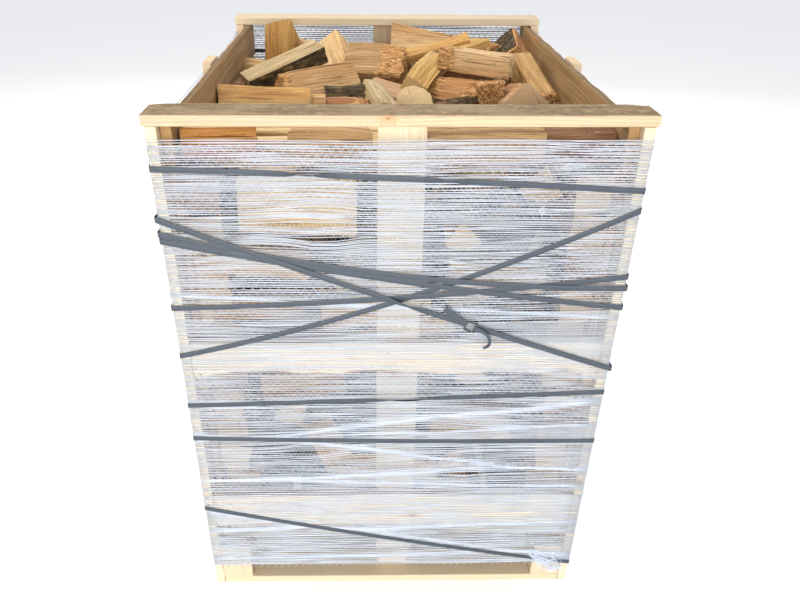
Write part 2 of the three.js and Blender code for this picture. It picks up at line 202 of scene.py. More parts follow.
class Finish(Tree):
    """A material's shader tree."""

    def __init__(self, name):
        self.material = bpy.data.materials.new(name)
        self.material.use_nodes = True
        super().__init__(self.material.node_tree)
        self.tree.nodes.clear()

    def attribute(self, name, output=1):
        """Output 1 is the attribute as a vector, and output 2 is its number."""
        return self.node("ShaderNodeAttribute", {"attribute_name": name}, None, output)

    def mix(self, factor, a, b, blend="MIX"):
        """Mixes two colours."""
        settings = {"data_type": "RGBA", "blend_type": blend}
        return self.node("ShaderNodeMix", settings, {0: factor, 6: a, 7: b}, 2)

    def darker(self, shade, code):
        """A colour multiplied by another."""
        return self.mix(1.0, shade, code, "MULTIPLY")

    def ramp(self, value, stops):
        return self.node("ShaderNodeValToRGB", {"stops": stops}, [value])

    def place(self):
        """Object coordinates."""
        return self.node("ShaderNodeTexCoord", None, None, 3)

    def bump(self, height, strength, distance):
        sockets = {"Strength": strength, "Distance": distance, "Height": height}
        return self.node("ShaderNodeBump", None, sockets)

    def finish(self, colour, roughness, normal=None, **plain):
        """Ends the tree in one Principled shader, and gives the material back."""
        sockets = {"Base Color": colour, "Roughness": roughness, **plain}
        if normal is not None:
            sockets["Normal"] = normal
        shader = self.node("ShaderNodeBsdfPrincipled", None, sockets)
        self.node("ShaderNodeOutputMaterial", None, [shader])
        return self.material


def colour(code):
    """A hex code as the linear colour that the shaders use."""
    parts = [int(code[i : i + 2], 16) / 255 for i in (0, 2, 4)]
    linear = [c / 12.92 if c <= 0.04045 else ((c + 0.055) / 1.055) ** 2.4 for c in parts]
    return (*linear, 1.0)


print("node helpers ready")

# %% [markdown]
# ## Sawn pine
#
# Every board was cut out of a tree, and its pattern is the tree's own: rings round the pith, and
# fibres along it. So each wooden piece carries an attribute called grain, which says where in the
# tree each of its points was, in metres from the pith and along it. One material can then show
# flames on a wide face, fine lines on an edge and rings on an end, with no seams between them.
# Knots are branches, found here as scattered cells in the same space. The rails' upper faces have
# stood in the weather, which bleaches the wood to grey and opens its grain.

# %% The pine finish
RING = 3.4 * MM
KNOT_CELL = Vector((0.11, 0.11, 0.36))


def knots(tree, grain):
    """How far each point is from the nearest knot, in radii of that knot."""
    cells = tree.vector("DIVIDE", grain, tuple(KNOT_CELL))
    settings = {"voronoi_dimensions": "3D", "feature": "F1"}
    sockets = {"Vector": cells, "Scale": 1.0, "Randomness": 1.0}
    centre = tree.node("ShaderNodeTexVoronoi", settings, sockets, 2)
    offset = tree.vector("MULTIPLY", tree.vector("SUBTRACT", cells, centre), tuple(KNOT_CELL))
    x, y, z = tree.split(offset)
    across = (x * x + y * y + (z * 0.7) ** 2.0) ** 0.5
    chance = tree.node("ShaderNodeTexWhiteNoise", {"noise_dimensions": "3D"}, {"Vector": centre})
    radius = 0.005 + 0.008 * chance
    return across / radius


def make_pine():
    tree = Finish("sawn_pine")
    grain = tree.attribute("grain")
    tone = tree.attribute("tone", 2)
    weather = tree.attribute("weather", 2)
    wane = tree.attribute("wane", 2)
    end = tree.attribute("end", 2)
    x, y, z = tree.split(grain)
    reach = knots(tree, grain)
    near_knot = 1 - tree.smooth(reach, 0.8, 3.2)
    core = 1 - tree.smooth(reach, 0.75, 1.1)
    wander = tree.fibres(grain, 14.0, 2.2, 3.0) - 0.5
    radius = (x * x + y * y) ** 0.5 + wander * 0.012 + near_knot * 0.007
    phase = (radius / RING) % 1.0
    late = tree.smooth(phase, 0.35, 0.92) * (1 - tree.smooth(phase, 0.93, 1.0))
    fibre = tree.fibres(grain, 620.0, 9.0, 3.0, 0.6)
    streak = tree.fibres(grain, 90.0, 2.0, 4.0, 0.6)
    cloud = tree.noise(grain, 9.0, 3.0)
    pale = tree.mix(cloud, "D7CBB4", "CCBD9F")
    golden = tree.mix(cloud, "A07A40", "7E5C2E")
    base = tree.mix(tone, pale, golden)
    grained = tree.mix(late * 0.26 + streak * 0.16, base, tree.darker(base, "D6B68C"))
    soiled = tree.mix(tree.smooth(streak, 0.48, 0.66) * tone * 0.7, grained, "6F5232")
    ringed = tree.mix(core, tree.mix(near_knot * 0.5, soiled, "C08A50"), "8F5A2E")
    knot_ring = (1 - tree.smooth(reach - 1.0, 0.0, 0.16)) * tree.smooth(reach, 0.85, 1.0)
    knotted = tree.mix(knot_ring * 0.7, ringed, "4F3018")
    grey = tree.mix(tree.smooth(streak, 0.38, 0.62), "967B50", "675131")
    open_grain = tree.smooth(fibre + late * 0.18, 0.46, 0.62)
    flake = tree.fibres(grain, 70.0, 46.0, 4.0, 0.7)
    worn = tree.mix(tree.smooth(flake, 0.5, 0.6) * 0.65, grey, "54442F")
    lifted = tree.mix((1 - tree.smooth(flake, 0.36, 0.46)) * 0.5, worn, "C3AB80")
    bleached = tree.mix(open_grain * 0.7, lifted, "4B3B28")
    silver = tree.mix(tree.smooth(cloud, 0.5, 0.6) * 0.45, bleached, "948366")
    soot = tree.mix(tree.smooth(tone, 0.5, 0.8) * 0.55, silver, "54452F")
    weathered = tree.mix(weather * (0.8 + 0.2 * cloud), knotted, soot)
    outside = tree.mix(tree.smooth(streak, 0.4, 0.6), "B98350", "7E5634")
    waned = tree.mix(tree.smooth(wane, 0.1, 0.8) * 0.8, weathered, outside)
    sawn_end = tree.mix(end * 0.35, waned, "B58D5A")
    finished = tree.mix((fibre - 0.5) * 0.5, sawn_end, "8C6A42")
    saw_lines = tree.noise(tree.combine(x * 14.0, y * 14.0, z * 420.0), 1.0, 2.0)
    height = fibre * 0.5 + late * 0.25 + saw_lines * 0.35 + open_grain * weather * -0.8 + core * 0.3
    return tree.finish(
        finished,
        0.72 + 0.16 * fibre,
        tree.bump(height, 0.45, 0.0011),
        **{"Specular IOR Level": 0.3},
    )


pine = make_pine()
print("pine finish with", len(pine.node_tree.nodes), "nodes")

# %% [markdown]
# ## Split wood
#
# A log is split along its fibres, so a fresh face is silky, with long streaks, fine dark flecks
# and the lines of the year rings. The bark stays on the outside, and the two ends are saw cuts
# that show the rings and the cracks of drying. All three looks belong to one log, so one material
# holds them. Each face of the mesh says with two numbers whether it is bark or an end, and the
# fibres again follow the grain attribute. The tint attribute gives each log the colour of its
# kind of tree.

# %% The finish of the logs


def split_face(tree, grain, tint, radius):
    """The colour and the height of a face that was split along the fibres."""
    streak = tree.fibres(grain, 85.0, 3.2, 4.0, 0.62)
    fibre = tree.fibres(grain, 520.0, 13.0, 3.0, 0.6)
    cloud = tree.noise(grain, 15.0, 3.0)
    year = tree.smooth(((radius + streak * 0.004) / (3.1 * MM)) % 1.0, 0.45, 0.95)
    heart = 1 - tree.smooth(radius + cloud * 0.02, 0.03, 0.075)
    base = tree.mix(heart * 0.5, tint, tree.darker(tint, "E0BE9A"))
    warm = tree.mix(tree.smooth(cloud, 0.5, 0.72) * 0.3, base, "B48F62")
    lined = tree.mix(year * 0.4, warm, tree.darker(warm, "C9A883"))
    streaked = tree.mix(tree.smooth(streak, 0.52, 0.72) * 0.6, lined, tree.darker(lined, "B0936F"))
    pale_streak = 1 - tree.smooth(streak, 0.3, 0.46)
    lit = tree.mix(pale_streak * 0.5, streaked, "E2CFA6")
    combed = tree.mix(tree.smooth(fibre, 0.46, 0.66) * 0.65, lit, tree.darker(lit, "A58A66"))
    fleck = tree.fibres(grain, 330.0, 120.0, 1.0)
    flecked = tree.mix(tree.smooth(fleck, 0.68, 0.76) * 0.7, combed, "4A331F")
    check = tree.fibres(grain, 150.0, 5.5, 2.0, 0.4)
    crack = tree.smooth(check, 0.66, 0.70)
    cracked = tree.mix(crack * 0.75, flecked, "4E3720")
    return cracked, fibre * 0.7 + streak * 1.1 - crack * 1.2


def bark_face(tree, grain):
    """The colour and the height of bark."""
    plate = tree.fibres(grain, 95.0, 34.0, 4.0, 0.62)
    crack = tree.fibres(grain, 70.0, 16.0, 5.0, 0.7, 0.6)
    stops = [(0.30, "17120C"), (0.46, "352A1B"), (0.58, "564528"), (0.72, "7C6643")]
    mossy = tree.smooth(tree.noise(grain, 22.0, 2.0), 0.52, 0.66)
    barked = tree.mix(mossy * 0.45, tree.ramp(plate, stops), "4D5134")
    return barked, plate * 2.2 + crack * 1.6

print("finishes of split faces and bark ready")

# %% The finish of a sawn end, and the three in one


def sawn_face(tree, grain, tint, radius):
    """The colour and the height of a sawn end."""
    x, y, z = tree.split(grain)
    wobble = tree.noise(tree.combine(x * 40.0, y * 40.0, z), 1.0, 3.0)
    year = tree.smooth(((radius + wobble * 0.006) / (2.6 * MM)) % 1.0, 0.4, 0.95)
    turn = y.math("ARCTAN2", x)
    spoke = tree.noise(tree.combine(turn * 9.0, radius * 6.0, z), 1.0, 3.0, 0.65)
    crack = tree.smooth(spoke, 0.66, 0.71)
    shaded = tree.mix(0.25, tint, "E6D0A8")
    ringed = tree.mix(year * 0.5, shaded, tree.darker(shaded, "B58E68"))
    patch = tree.smooth(tree.noise(grain, 28.0, 3.0), 0.50, 0.70)
    grimy = tree.mix(patch * 0.22, ringed, "94744E")
    pore = tree.fibres(grain, 620.0, 40.0, 2.0, 0.7)
    grimy = tree.mix(tree.smooth(pore, 0.52, 0.68) * 0.3, grimy, tree.darker(grimy, "8C6C4C"))
    cracked = tree.mix(crack * 0.8, grimy, "3B2817")
    return cracked, year * 0.2 + wobble * 0.8 - crack * 2.0 - pore * 0.5


def make_split_wood():
    tree = Finish("split_wood")
    grain = tree.attribute("grain")
    tint = tree.attribute("tint", 0)
    bark = tree.attribute("bark", 2)
    end = tree.attribute("end", 2)
    x, y, z = tree.split(grain)
    radius = (x * x + y * y) ** 0.5
    split_colour, split_height = split_face(tree, grain, tint, radius)
    bark_colour, bark_height = bark_face(tree, grain)
    end_colour, end_height = sawn_face(tree, grain, tint, radius)
    torn = tree.smooth(bark, 0.35, 0.65)
    sided = tree.mix(torn, split_colour, bark_colour)
    sound = tree.mix(end, sided, end_colour)
    rot = tree.attribute("rot", 2)
    crumb = tree.fibres(grain, 150.0, 60.0, 5.0, 0.65)
    decay = tree.smooth(rot + (crumb - 0.5) * 1.1, 0.30, 0.52)
    stops = [(0.34, "45301C"), (0.48, "A2743F"), (0.64, "CDA474")]
    whole = tree.mix(decay * 0.9, sound, tree.ramp(crumb, stops))
    side_height = split_height * (1 - torn) + bark_height * torn
    height = side_height * (1 - end) + end_height * end + decay * crumb * 2.0
    return tree.finish(
        whole,
        0.74 + 0.14 * torn,
        tree.bump(height, 0.7, 0.0015),
        **{"Specular IOR Level": 0.25},
    )


split_wood = make_split_wood()
print("split wood finish with", len(split_wood.node_tree.nodes), "nodes")

# %% [markdown]
# ## Building a mesh from rings
#
# Boards and logs are both long things with a section that changes little on its way. The plain
# way to make one is to stack rings of points and skin them with quads, which is called a loft.
# Arrays do this for thousands of points at once. The first and the last few rings shrink towards
# the middle of the section, so that the ends are made of the same quads, and can be rough too.

# %% Skin a stack of rings


def loft(rings):
    """Skins a stack of rings, and closes both ends on a middle point: points, quads, triangles."""
    count, around = rings.shape[:2]
    points = np.concatenate([rings.reshape(-1, 3), rings[:1].mean(1), rings[-1:].mean(1)])
    ring, spot = np.meshgrid(np.arange(count - 1), np.arange(around), indexing="ij")
    after = (spot + 1) % around
    here, there = ring * around, (ring + 1) * around
    quads = np.stack([here + spot, here + after, there + after, there + spot], -1).reshape(-1, 4)
    spot, after = spot[0], after[0]
    first, last, top = count * around, count * around + 1, (count - 1) * around
    start = np.stack([np.full(around, first), after, spot], -1)
    finish = np.stack([np.full(around, last), top + spot, top + after], -1)
    return points, quads, np.concatenate([start, finish])


def unit(vectors):
    """Each vector with a length of one."""
    return vectors / np.linalg.norm(vectors, axis=1)[:, None]


def store(mesh, name, domain, values):
    """Keeps one number, vector or colour for each point or face of a mesh."""
    kinds = {1: ("FLOAT", "value"), 3: ("FLOAT_VECTOR", "vector"), 4: ("FLOAT_COLOR", "color")}
    kind, field = kinds[1 if values.ndim == 1 else values.shape[1]]
    attribute = mesh.attributes.new(name, kind, domain)
    attribute.data.foreach_set(field, np.ascontiguousarray(values, dtype=np.float32).ravel())

SQUARES = np.array([[(0, 0, z), (1, 0, z), (1, 1, z), (0, 1, z)] for z in (0, 1)])
print("two square rings give", [len(part) for part in loft(SQUARES)], "points, quads and triangles")

# %% Make a piece of the points and faces


def make_piece(name, points, faces, finish, crease=32):
    """Makes a mesh object at the origin, smooth but for edges that are sharper than the crease."""
    mesh = bpy.data.meshes.new(name)
    mesh.from_pydata(points.tolist(), [], faces)
    mesh.materials.append(finish)
    mesh.shade_smooth()
    mesh.set_sharp_from_angle(angle=math.radians(crease))
    piece = bpy.data.objects.new(name, mesh)
    scene.collection.objects.link(piece)
    return piece


def stand_for(piece, slot, *replaced):
    """Lets a piece ride with the object, and hides the solids it stands for. The slot is not used."""
    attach(piece, "root")
    if replaced:
        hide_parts(*replaced)


def count_triangles(piece):
    print(piece.name, sum(len(face.vertices) - 2 for face in piece.data.polygons), "triangles")


def ripple(points, scale, seed):
    """Smooth noise from -1 to 1 at each point, with its own scale along each axis."""
    spots = points * np.asarray(scale) + seed * 17.31
    return np.array([noise.noise(spot) for spot in spots.tolist()])


print("mesh helpers ready")

# %% [markdown]
# ## The boards
#
# Sawn boards are never quite the box that the drawing shows. Their edges are rounded by handling,
# their faces wander by half a millimetre, and cheap ones keep a strip of the log's round outside
# along an edge, which is called wane. A bevelled cube would give the rounding and nothing else.
# A loft with a few hundred rings' worth of points can carry all of it, and it can keep the tree
# coordinates of each point for the finish.

# %% The section of a board and its wane
EDGE_ROUNDING = 1.6 * MM
BOARD_STEP = 14 * MM
SECTION_STEP = 9 * MM
WAVE, FUZZ = 0.35 * MM, 0.16 * MM


def board_section(width, thickness):
    """Points round a board's section, anticlockwise, with each corner cut by the rounding."""
    corners = [(-1, -1), (1, -1), (1, 1), (-1, 1)]
    points = []
    for (ax, ay), (bx, by) in zip(corners, corners[1:] + corners[:1]):
        a = np.array([ax * width / 2, ay * thickness / 2])
        b = np.array([bx * width / 2, by * thickness / 2])
        length = np.linalg.norm(b - a)
        inset = EDGE_ROUNDING / length
        steps = max(2, round(length / SECTION_STEP) + 1)
        points += [a + (b - a) * t for t in np.linspace(inset, 1 - inset, steps)]
    return np.array(points)


def cut_wane(points, width, thickness, corner, start, stop, depth, seed):
    """Moves a long edge inwards between two places along the board. Gives how far each went."""
    along = points[:, 2]
    reach = ripple(np.stack([along * 0, along * 0, along], -1), (1, 1, 14.0), seed)
    fade = np.clip((along - start) / 0.05, 0, 1) * np.clip((stop - along) / 0.05, 0, 1)
    wanted = depth * (0.75 + 0.6 * reach) * fade
    from_side = width / 2 - points[:, 0] * corner[0]
    from_face = thickness / 2 - points[:, 1] * corner[1]
    missing = np.clip(wanted - from_side - from_face, 0, None) / 2
    points[:, 0] -= corner[0] * missing
    points[:, 1] -= corner[1] * missing
    return np.clip(missing / (1.5 * MM), 0, 1)

print(len(board_section(98 * MM, 22 * MM)), "points round a board")

# %% Make one board


def board_axes(lo, hi):
    """A board's across, through and along directions, by its box, and its three sizes."""
    sizes = [hi[i] - lo[i] for i in range(3)]
    through, across, along = sorted(range(3), key=lambda i: sizes[i])
    t, l = Vector(np.eye(3)[through]), Vector(np.eye(3)[along])
    return t.cross(l), t, l, sizes[across], sizes[through], sizes[along]


def make_board(node, seed, slot="sawn_pine", tone=0.1, weather=0.0, wane=(), rough=1.0):
    """A sawn board in the place of a node. Wane is a list of edges that keep the log's outside."""
    lo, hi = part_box(node)
    across, through, along, width, thickness, length = board_axes(lo, hi)
    section = board_section(width, thickness)
    steps = max(3, round(length / BOARD_STEP) + 1)
    places = np.linspace(EDGE_ROUNDING, length - EDGE_ROUNDING, steps)
    ends = [(0.0, 0.45), (0.0, 0.9), (0.0, 1 - 2 * EDGE_ROUNDING / thickness)]
    stack = ends + [(place, 1.0) for place in places] + [(length, s) for _, s in reversed(ends)]
    rings = np.array([[(*(p * scale), z - length / 2) for p in section] for z, scale in stack])
    points, quads, triangles = loft(rings)
    draw = random.Random(seed)
    pith = (draw.uniform(-0.05, 0.05), draw.choice((-1, 1)) * draw.uniform(0.02, 0.09))
    grain = points + np.array([pith[0], pith[1], draw.uniform(0, 40)])
    waned = np.zeros(len(points))
    for corner, start, stop, depth in wane:
        start, stop = start * length - length / 2, stop * length - length / 2
        cut = cut_wane(points, width, thickness, corner, start, stop, depth, seed)
        waned = np.maximum(waned, cut)
    sides = np.abs(points[:, 2]) < length / 2 - EDGE_ROUNDING / 2
    push = ripple(points, (60, 60, 9), seed) * WAVE + ripple(points, (240, 240, 40), seed) * FUZZ
    on_face = np.abs(points[:, :2]) > np.array([width, thickness]) / 2 - 0.5 * MM
    points[:, :2] += np.sign(points[:, :2]) * on_face * (push * sides * rough)[:, None]
    points[:, 2] += np.sign(points[:, 2]) * ~sides * ripple(points, (300, 300, 1), seed) * 0.5 * MM
    axes = np.array([across, through, along])
    centre = (np.array(lo) + np.array(hi)) / 2
    piece = make_piece(f"{node}_wood", points @ axes + centre, quads.tolist() + triangles.tolist(), pine)
    finish_board(piece, grain, tone, weather, waned, length)
    stand_for(piece, slot, node)


def finish_board(piece, grain, tone, weather, waned, length):
    """Stores what the pine finish reads."""
    mesh = piece.data
    count = len(mesh.vertices)
    normals = np.array([face.normal for face in mesh.polygons])
    store(mesh, "grain", "POINT", grain)
    store(mesh, "tone", "POINT", np.full(count, tone))
    store(mesh, "wane", "POINT", waned)
    store(mesh, "weather", "FACE", np.clip(normals[:, 2] * 2 - 1, SIDE_WEATHER, 1) * weather)
    along = np.abs(normals @ np.array(longest_axis(piece))) > 0.7
    store(mesh, "end", "FACE", along.astype(float))


def longest_axis(piece):
    sizes = list(piece.dimensions)
    return np.eye(3)[sizes.index(max(sizes))]

sizes = board_axes(*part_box("rail_front"))[3:]
print("the front rail is", [round(size / MM) for size in sizes], "millimetres")

# %% Lay all the boards of the crate
SIDES = ("left", "right")
PLACES = ("front", "middle", "back")
LEVELS = ("top", "middle", "bottom")
DECK_BOARDS = range(1, 6)
SIDE_WEATHER = 0.2
RAIL_WANE = [((1, 1), 0.955, 1.2, 15 * MM), ((1, 1), -0.2, 0.05, 9 * MM), ((1, 1), 0.3, 0.62, 3 * MM)]
LOWER_WANE = [((1, -1), 0.03, 0.97, 19 * MM)]
OUTER_WANE = {"left": [((1, -1), -0.1, 1.1, 11 * MM)], "right": [((1, 1), -0.1, 1.1, 11 * MM)]}

boards = {
    "rail_front": dict(slot="weathered_pine", tone=0.17, weather=1.0, wane=RAIL_WANE),
    "rail_back": dict(slot="weathered_pine", tone=0.0, weather=0.35),
    "upright_front": dict(tone=0.0),
    "upright_back": dict(tone=0.3),
    "front_board_middle": dict(tone=0.05, wane=LOWER_WANE),
    "front_board_bottom": dict(tone=0.0),
    "back_board_middle": dict(tone=0.1),
    "back_board_bottom": dict(tone=0.15),
}
for side in SIDES:
    for place in PLACES:
        boards[f"post_{side}_{place}"] = dict(tone=0.0)
    worn = dict(tone=0.85, weather=1.0, wane=OUTER_WANE[side], rough=2.6)
    boards[f"{side}_board_top"] = worn
    boards[f"{side}_board_middle"] = dict(tone=0.25)
    boards[f"{side}_board_bottom"] = dict(tone=0.2)
for place in PLACES:
    boards[f"foot_board_{place}"] = dict(tone=0.05)
    boards[f"stringer_{place}"] = dict(tone=0.0)
    for side in ("left", "centre", "right"):
        boards[f"block_{place}_{side}"] = dict(tone=0.15)
for number in DECK_BOARDS:
    boards[f"deck_board_{number}"] = dict(tone=0.1)

for seed, (node, look) in enumerate(boards.items(), 1):
    make_board(node, seed, **look)
print(len(boards), "boards and blocks")

# %% [markdown]
# ## A split log
#
# Firewood starts as a round, about 25 cm long, which an axe or a wedge parts along its fibres.
# Most pieces keep a wedge section with the pith at the thin edge and bark on the round side, and
# pieces split again end up as slabs with no bark. One function lofts both. It bends and twists
# the section a little on its way, pushes the faces in and out along the fibres, and leaves the
# ends either sawn or torn. That gives every log its own silhouette, which bump alone can't.

# %% Sections of split logs
CORNER_CUT = 2.2 * MM
TIP_DROP = 0.6


def divide(corners, flags, around):
    """Spreads points along the edges of a section. Gives the points and each edge's bark flag."""
    lengths = [np.linalg.norm(b - a) for a, b in zip(corners, corners[1:] + corners[:1])]
    points, barked = [], []
    following = corners[1:] + corners[:1]
    for a, b, length, flag, next_flag in zip(corners, following, lengths, flags, flags[1:] + flags[:1]):
        steps = max(2, round(around * length / sum(lengths)))
        inset = min(0.2, CORNER_CUT / length)
        points += [a + (b - a) * t for t in np.linspace(inset, 1 - inset, steps)]
        barked += [flag] * (steps - 1) + [min(flag, next_flag)]
    return np.array(points), np.array(barked)


def wedge(radius, sweep, around=44, bark=1.0):
    """A slice of a round, with the pith at the lower edge and the bark on top."""
    tip = np.array([0.0, -TIP_DROP * radius]) * MM
    turns = np.radians(np.linspace(90 - sweep / 2, 90 + sweep / 2, 7))
    arc = [tip + np.array([math.cos(turn), math.sin(turn)]) * radius * MM for turn in turns]
    points, barked = divide([tip, *arc], [0.0] + [bark] * 6 + [0.0], around)
    return points, barked, tip


def slab(width, height, top=None, around=44, bark=None):
    """A log split on all sides. Bark names the one edge that kept it: 0 low, 1 right, 2 top, 3 left."""
    top = top or width
    corners = [(-width, -height), (width, -height), (top, height), (-top, height)]
    flags = [float(edge == bark) for edge in range(4)]
    corners = [np.array(corner) * MM / 2 for corner in corners]
    points, barked = divide(corners, flags, around)
    return points, barked, np.array([0.25 * width, -0.85 * height]) * MM

print(len(wedge(100, 80)[0]), "points round a wedge")

# %% The rings, the relief and the rot of a log
CAP_SCALES = (0.12, 0.38, 0.66, 0.88)
CAPS = len(CAP_SCALES)


def outward(section):
    """The direction that faces out of a section at each of its points."""
    ahead = np.roll(section, -1, 0) - np.roll(section, 1, 0)
    return unit(np.stack([ahead[:, 1], -ahead[:, 0]], -1))


def log_rings(section, length, step, end_scale, rough, draw):
    """Rings of a bent and twisted log, the same places in its tree, and the scale of each ring."""
    outline, _, pith = section
    count = max(4, round(length / (step * MM)))
    scales = [*CAP_SCALES, *[1.0] * count, *reversed(CAP_SCALES)]
    stops = [*[0.0] * CAPS, *np.linspace(0, length, count), *[length] * CAPS]
    middle = outline.mean(0)
    twist, bend = math.radians(draw.uniform(-7, 7)), draw.uniform(-4, 4) * MM * rough
    rings, fibres = [], []
    for scale, z in zip(scales, stops):
        share = z / length
        turn = twist * (share - 0.5)
        rotation = np.array([[math.cos(turn), -math.sin(turn)], [math.sin(turn), math.cos(turn)]])
        shrunk = (outline - middle) * scale + middle
        drift = np.array([bend, -bend * 0.6]) * (4 * share * (1 - share) - 0.5)
        taper = 1 + (end_scale - 1) * share
        rings.append(np.column_stack([shrunk @ rotation.T * taper + drift, np.full(len(shrunk), z)]))
        fibres.append(np.column_stack([shrunk - pith, np.full(len(shrunk), z)]))
    return np.array(rings), np.array(fibres), np.array(scales)


def relief(places, bark, rough, seed):
    """How far the sides stand out: broad hollows, ridges along the fibres and plates of bark."""
    broad = ripple(places, (17, 17, 6), seed) * 4.5 * MM
    ridge = (0.5 - np.abs(ripple(places, (75, 75, 5), seed + 1))) * 3.2 * MM
    fine = ripple(places, (210, 210, 16), seed + 2) * 0.9 * MM
    plates = np.abs(ripple(places, (95, 95, 38), seed + 3)) * 4.0 * MM
    return (broad + (ridge + fine) * (1 - bark) + plates * bark) * rough


def rottenness(fibres, share, rot, seed):
    """How rotten each point is, from 0 to 1, by how far the rot reaches from each end."""
    decay = np.zeros(len(share))
    for reach, away in zip(rot, (share, 1 - share)):
        decay = np.maximum(decay, np.clip(1 - away / reach, 0, 1) if reach else 0)
    return np.clip(decay * 1.6 + decay * ripple(fibres, (38, 38, 26), seed + 6), 0, 1)

print("each end closes in", CAPS, "rings")

# %% Loft a log and roughen it


def log_mesh(section, length, seed, end_scale=1, torn=0, rough=1, rot=(0, 0), cut=None, step=8):
    """One log along Z from 0 to its length, with what its finish reads.

    Torn is how far the ends' fibres stand out and step is between two rings, in millimetres. Rot
    says how far the rot reaches from each end, and cut is the slope of the far end's saw cut.
    """
    outline, barked, _ = section
    draw = random.Random(seed)
    rings, fibres, scales = log_rings(section, length, step, end_scale, rough, draw)
    points, quads, triangles = loft(rings)
    fibres, _, _ = loft(fibres)
    around, main = len(outline), len(points) - 2
    normals = np.tile(outward(outline), (len(rings), 1))
    full = np.repeat(scales, around)
    seeds = fibres[:main] + np.array([0, 0, seed * 0.37])
    push = relief(seeds, np.tile(barked, len(rings)), rough, seed)
    points[:main, :2] += normals * (push * full)[:, None]
    tilt = np.array([draw.uniform(-0.12, 0.12), draw.uniform(-0.1, 0.1)]) * (0.4 + 0.6 * rough)
    share = np.clip(points[:, 2] / length, 0, 1)
    shear = points[:, :2] @ np.array(cut) * share if cut else points[:, :2] @ tilt
    ragged = (0.5 - np.abs(ripple(fibres, (130, 130, 1), seed + 4))) * 2 * torn * MM
    ragged += ripple(fibres, (45, 45, 1), seed + 5) * torn * MM * 1.3
    ragged += ripple(fibres, (500, 500, 1), seed) * 0.4 * MM
    decay = rottenness(fibres, share, rot, seed)
    holes = np.abs(ripple(fibres, (120, 120, 70), seed + 7)) * 9 * MM * decay
    points[:main, :2] -= normals * (holes[:main] * full)[:, None]
    points[:, 2] += shear * (2 * share - 1) + ragged * np.clip(share * 4 - 3, 0, 1)
    points[:, 2] -= ragged * np.clip(1 - share * 4, 0, 1)
    grain = fibres + np.array([0, 0, seed * 1.37])
    ring = np.repeat(np.arange(len(rings) - 1), around)
    is_end = ((ring < CAPS) | (ring >= len(rings) - 1 - CAPS)).astype(float)
    bark = np.concatenate([np.tile(barked, len(rings) - 1) * (1 - is_end), np.zeros(len(triangles))])
    end = np.concatenate([is_end, np.ones(len(triangles))])
    faces = dict(quads=quads, triangles=triangles, bark=bark, end=end)
    return dict(points=points, grain=grain, rot=decay, **faces)

print("a log has", len(log_mesh(wedge(100, 80), 0.25, 0)["points"]), "points")

# %% Put logs into one piece
WOODS = {
    "cream": "DCC496",
    "pale": "D2B684",
    "yellow": "CDA968",
    "golden": "BC9A66",
    "mustard": "BF995A",
    "tan": "BF9F72",
    "pink": "BC9C78",
    "fawn": "A5845C",
    "red": "9C6A44",
    "orange": "B98A5A",
    "rust": "BE8C5C",
    "alder": "BC8546",
    "honey": "DAB97E",
    "straw": "CDB184",
    "bright": "F2D8A6",
    "brown": "866044",
    "grey": "B4A27C",
    "dark": "5E452F",
}


def log_axes(start, stop, roll):
    """The matrix that lays a log, made along Z, from one place to another with a roll."""
    start, stop = Vector(start) * MM, Vector(stop) * MM
    forward = (stop - start).normalized()
    hint = Vector((0, 1, 0)) if abs(forward.z) > 0.8 else Vector((0, 0, 1))
    right = forward.cross(hint).normalized()
    up = right.cross(forward)
    turn = math.radians(roll)
    across = right * math.cos(turn) + up * math.sin(turn)
    over = up * math.cos(turn) - right * math.sin(turn)
    matrix = Matrix((across, over, forward)).transposed().to_4x4()
    matrix.translation = start
    return matrix


def place(log, matrix, wood):
    """Moves a log's points by a matrix, turns its faces out, and gives it a wood."""
    axes = np.array(matrix)
    placed = dict(log, points=log["points"] @ axes[:3, :3].T + axes[:3, 3])
    if np.linalg.det(axes[:3, :3]) < 0:
        placed["quads"], placed["triangles"] = log["quads"][:, ::-1], log["triangles"][:, ::-1]
    placed["tint"] = np.tile(colour(WOODS[wood]), (len(log["points"]), 1))
    return placed


def join_logs(name, logs):
    """Joins placed logs in one mesh with the values that the split wood finish reads."""
    starts = np.cumsum([0] + [len(log["points"]) for log in logs])
    points = np.concatenate([log["points"] for log in logs])
    faces, bark, end = [], [], []
    for log, start in zip(logs, starts):
        faces += (log["quads"] + start).tolist() + (log["triangles"] + start).tolist()
    piece = make_piece(name, points, faces, split_wood, crease=38)
    fields = {"grain": "POINT", "tint": "POINT", "rot": "POINT", "bark": "FACE", "end": "FACE"}
    for field, domain in fields.items():
        store(piece.data, field, domain, np.concatenate([log[field] for log in logs]))
    return piece

print(len(WOODS), "woods")

# %% [markdown]
# ## The logs on top
#
# The logs that a buyer sees first lie on top of the heap. Eight of them are solids of their own
# in the frame. They are laid one by one, from one end to the other with a roll about their length,
# and each has the wood, the bark and the kind of end that it has on the real bundle.

# %% Lay the eight big logs
def lie(section, start, stop, roll, wood, **options):
    """How a log lies: its section, its two ends in millimetres, its roll and its wood."""
    return section, start, stop, roll, wood, options


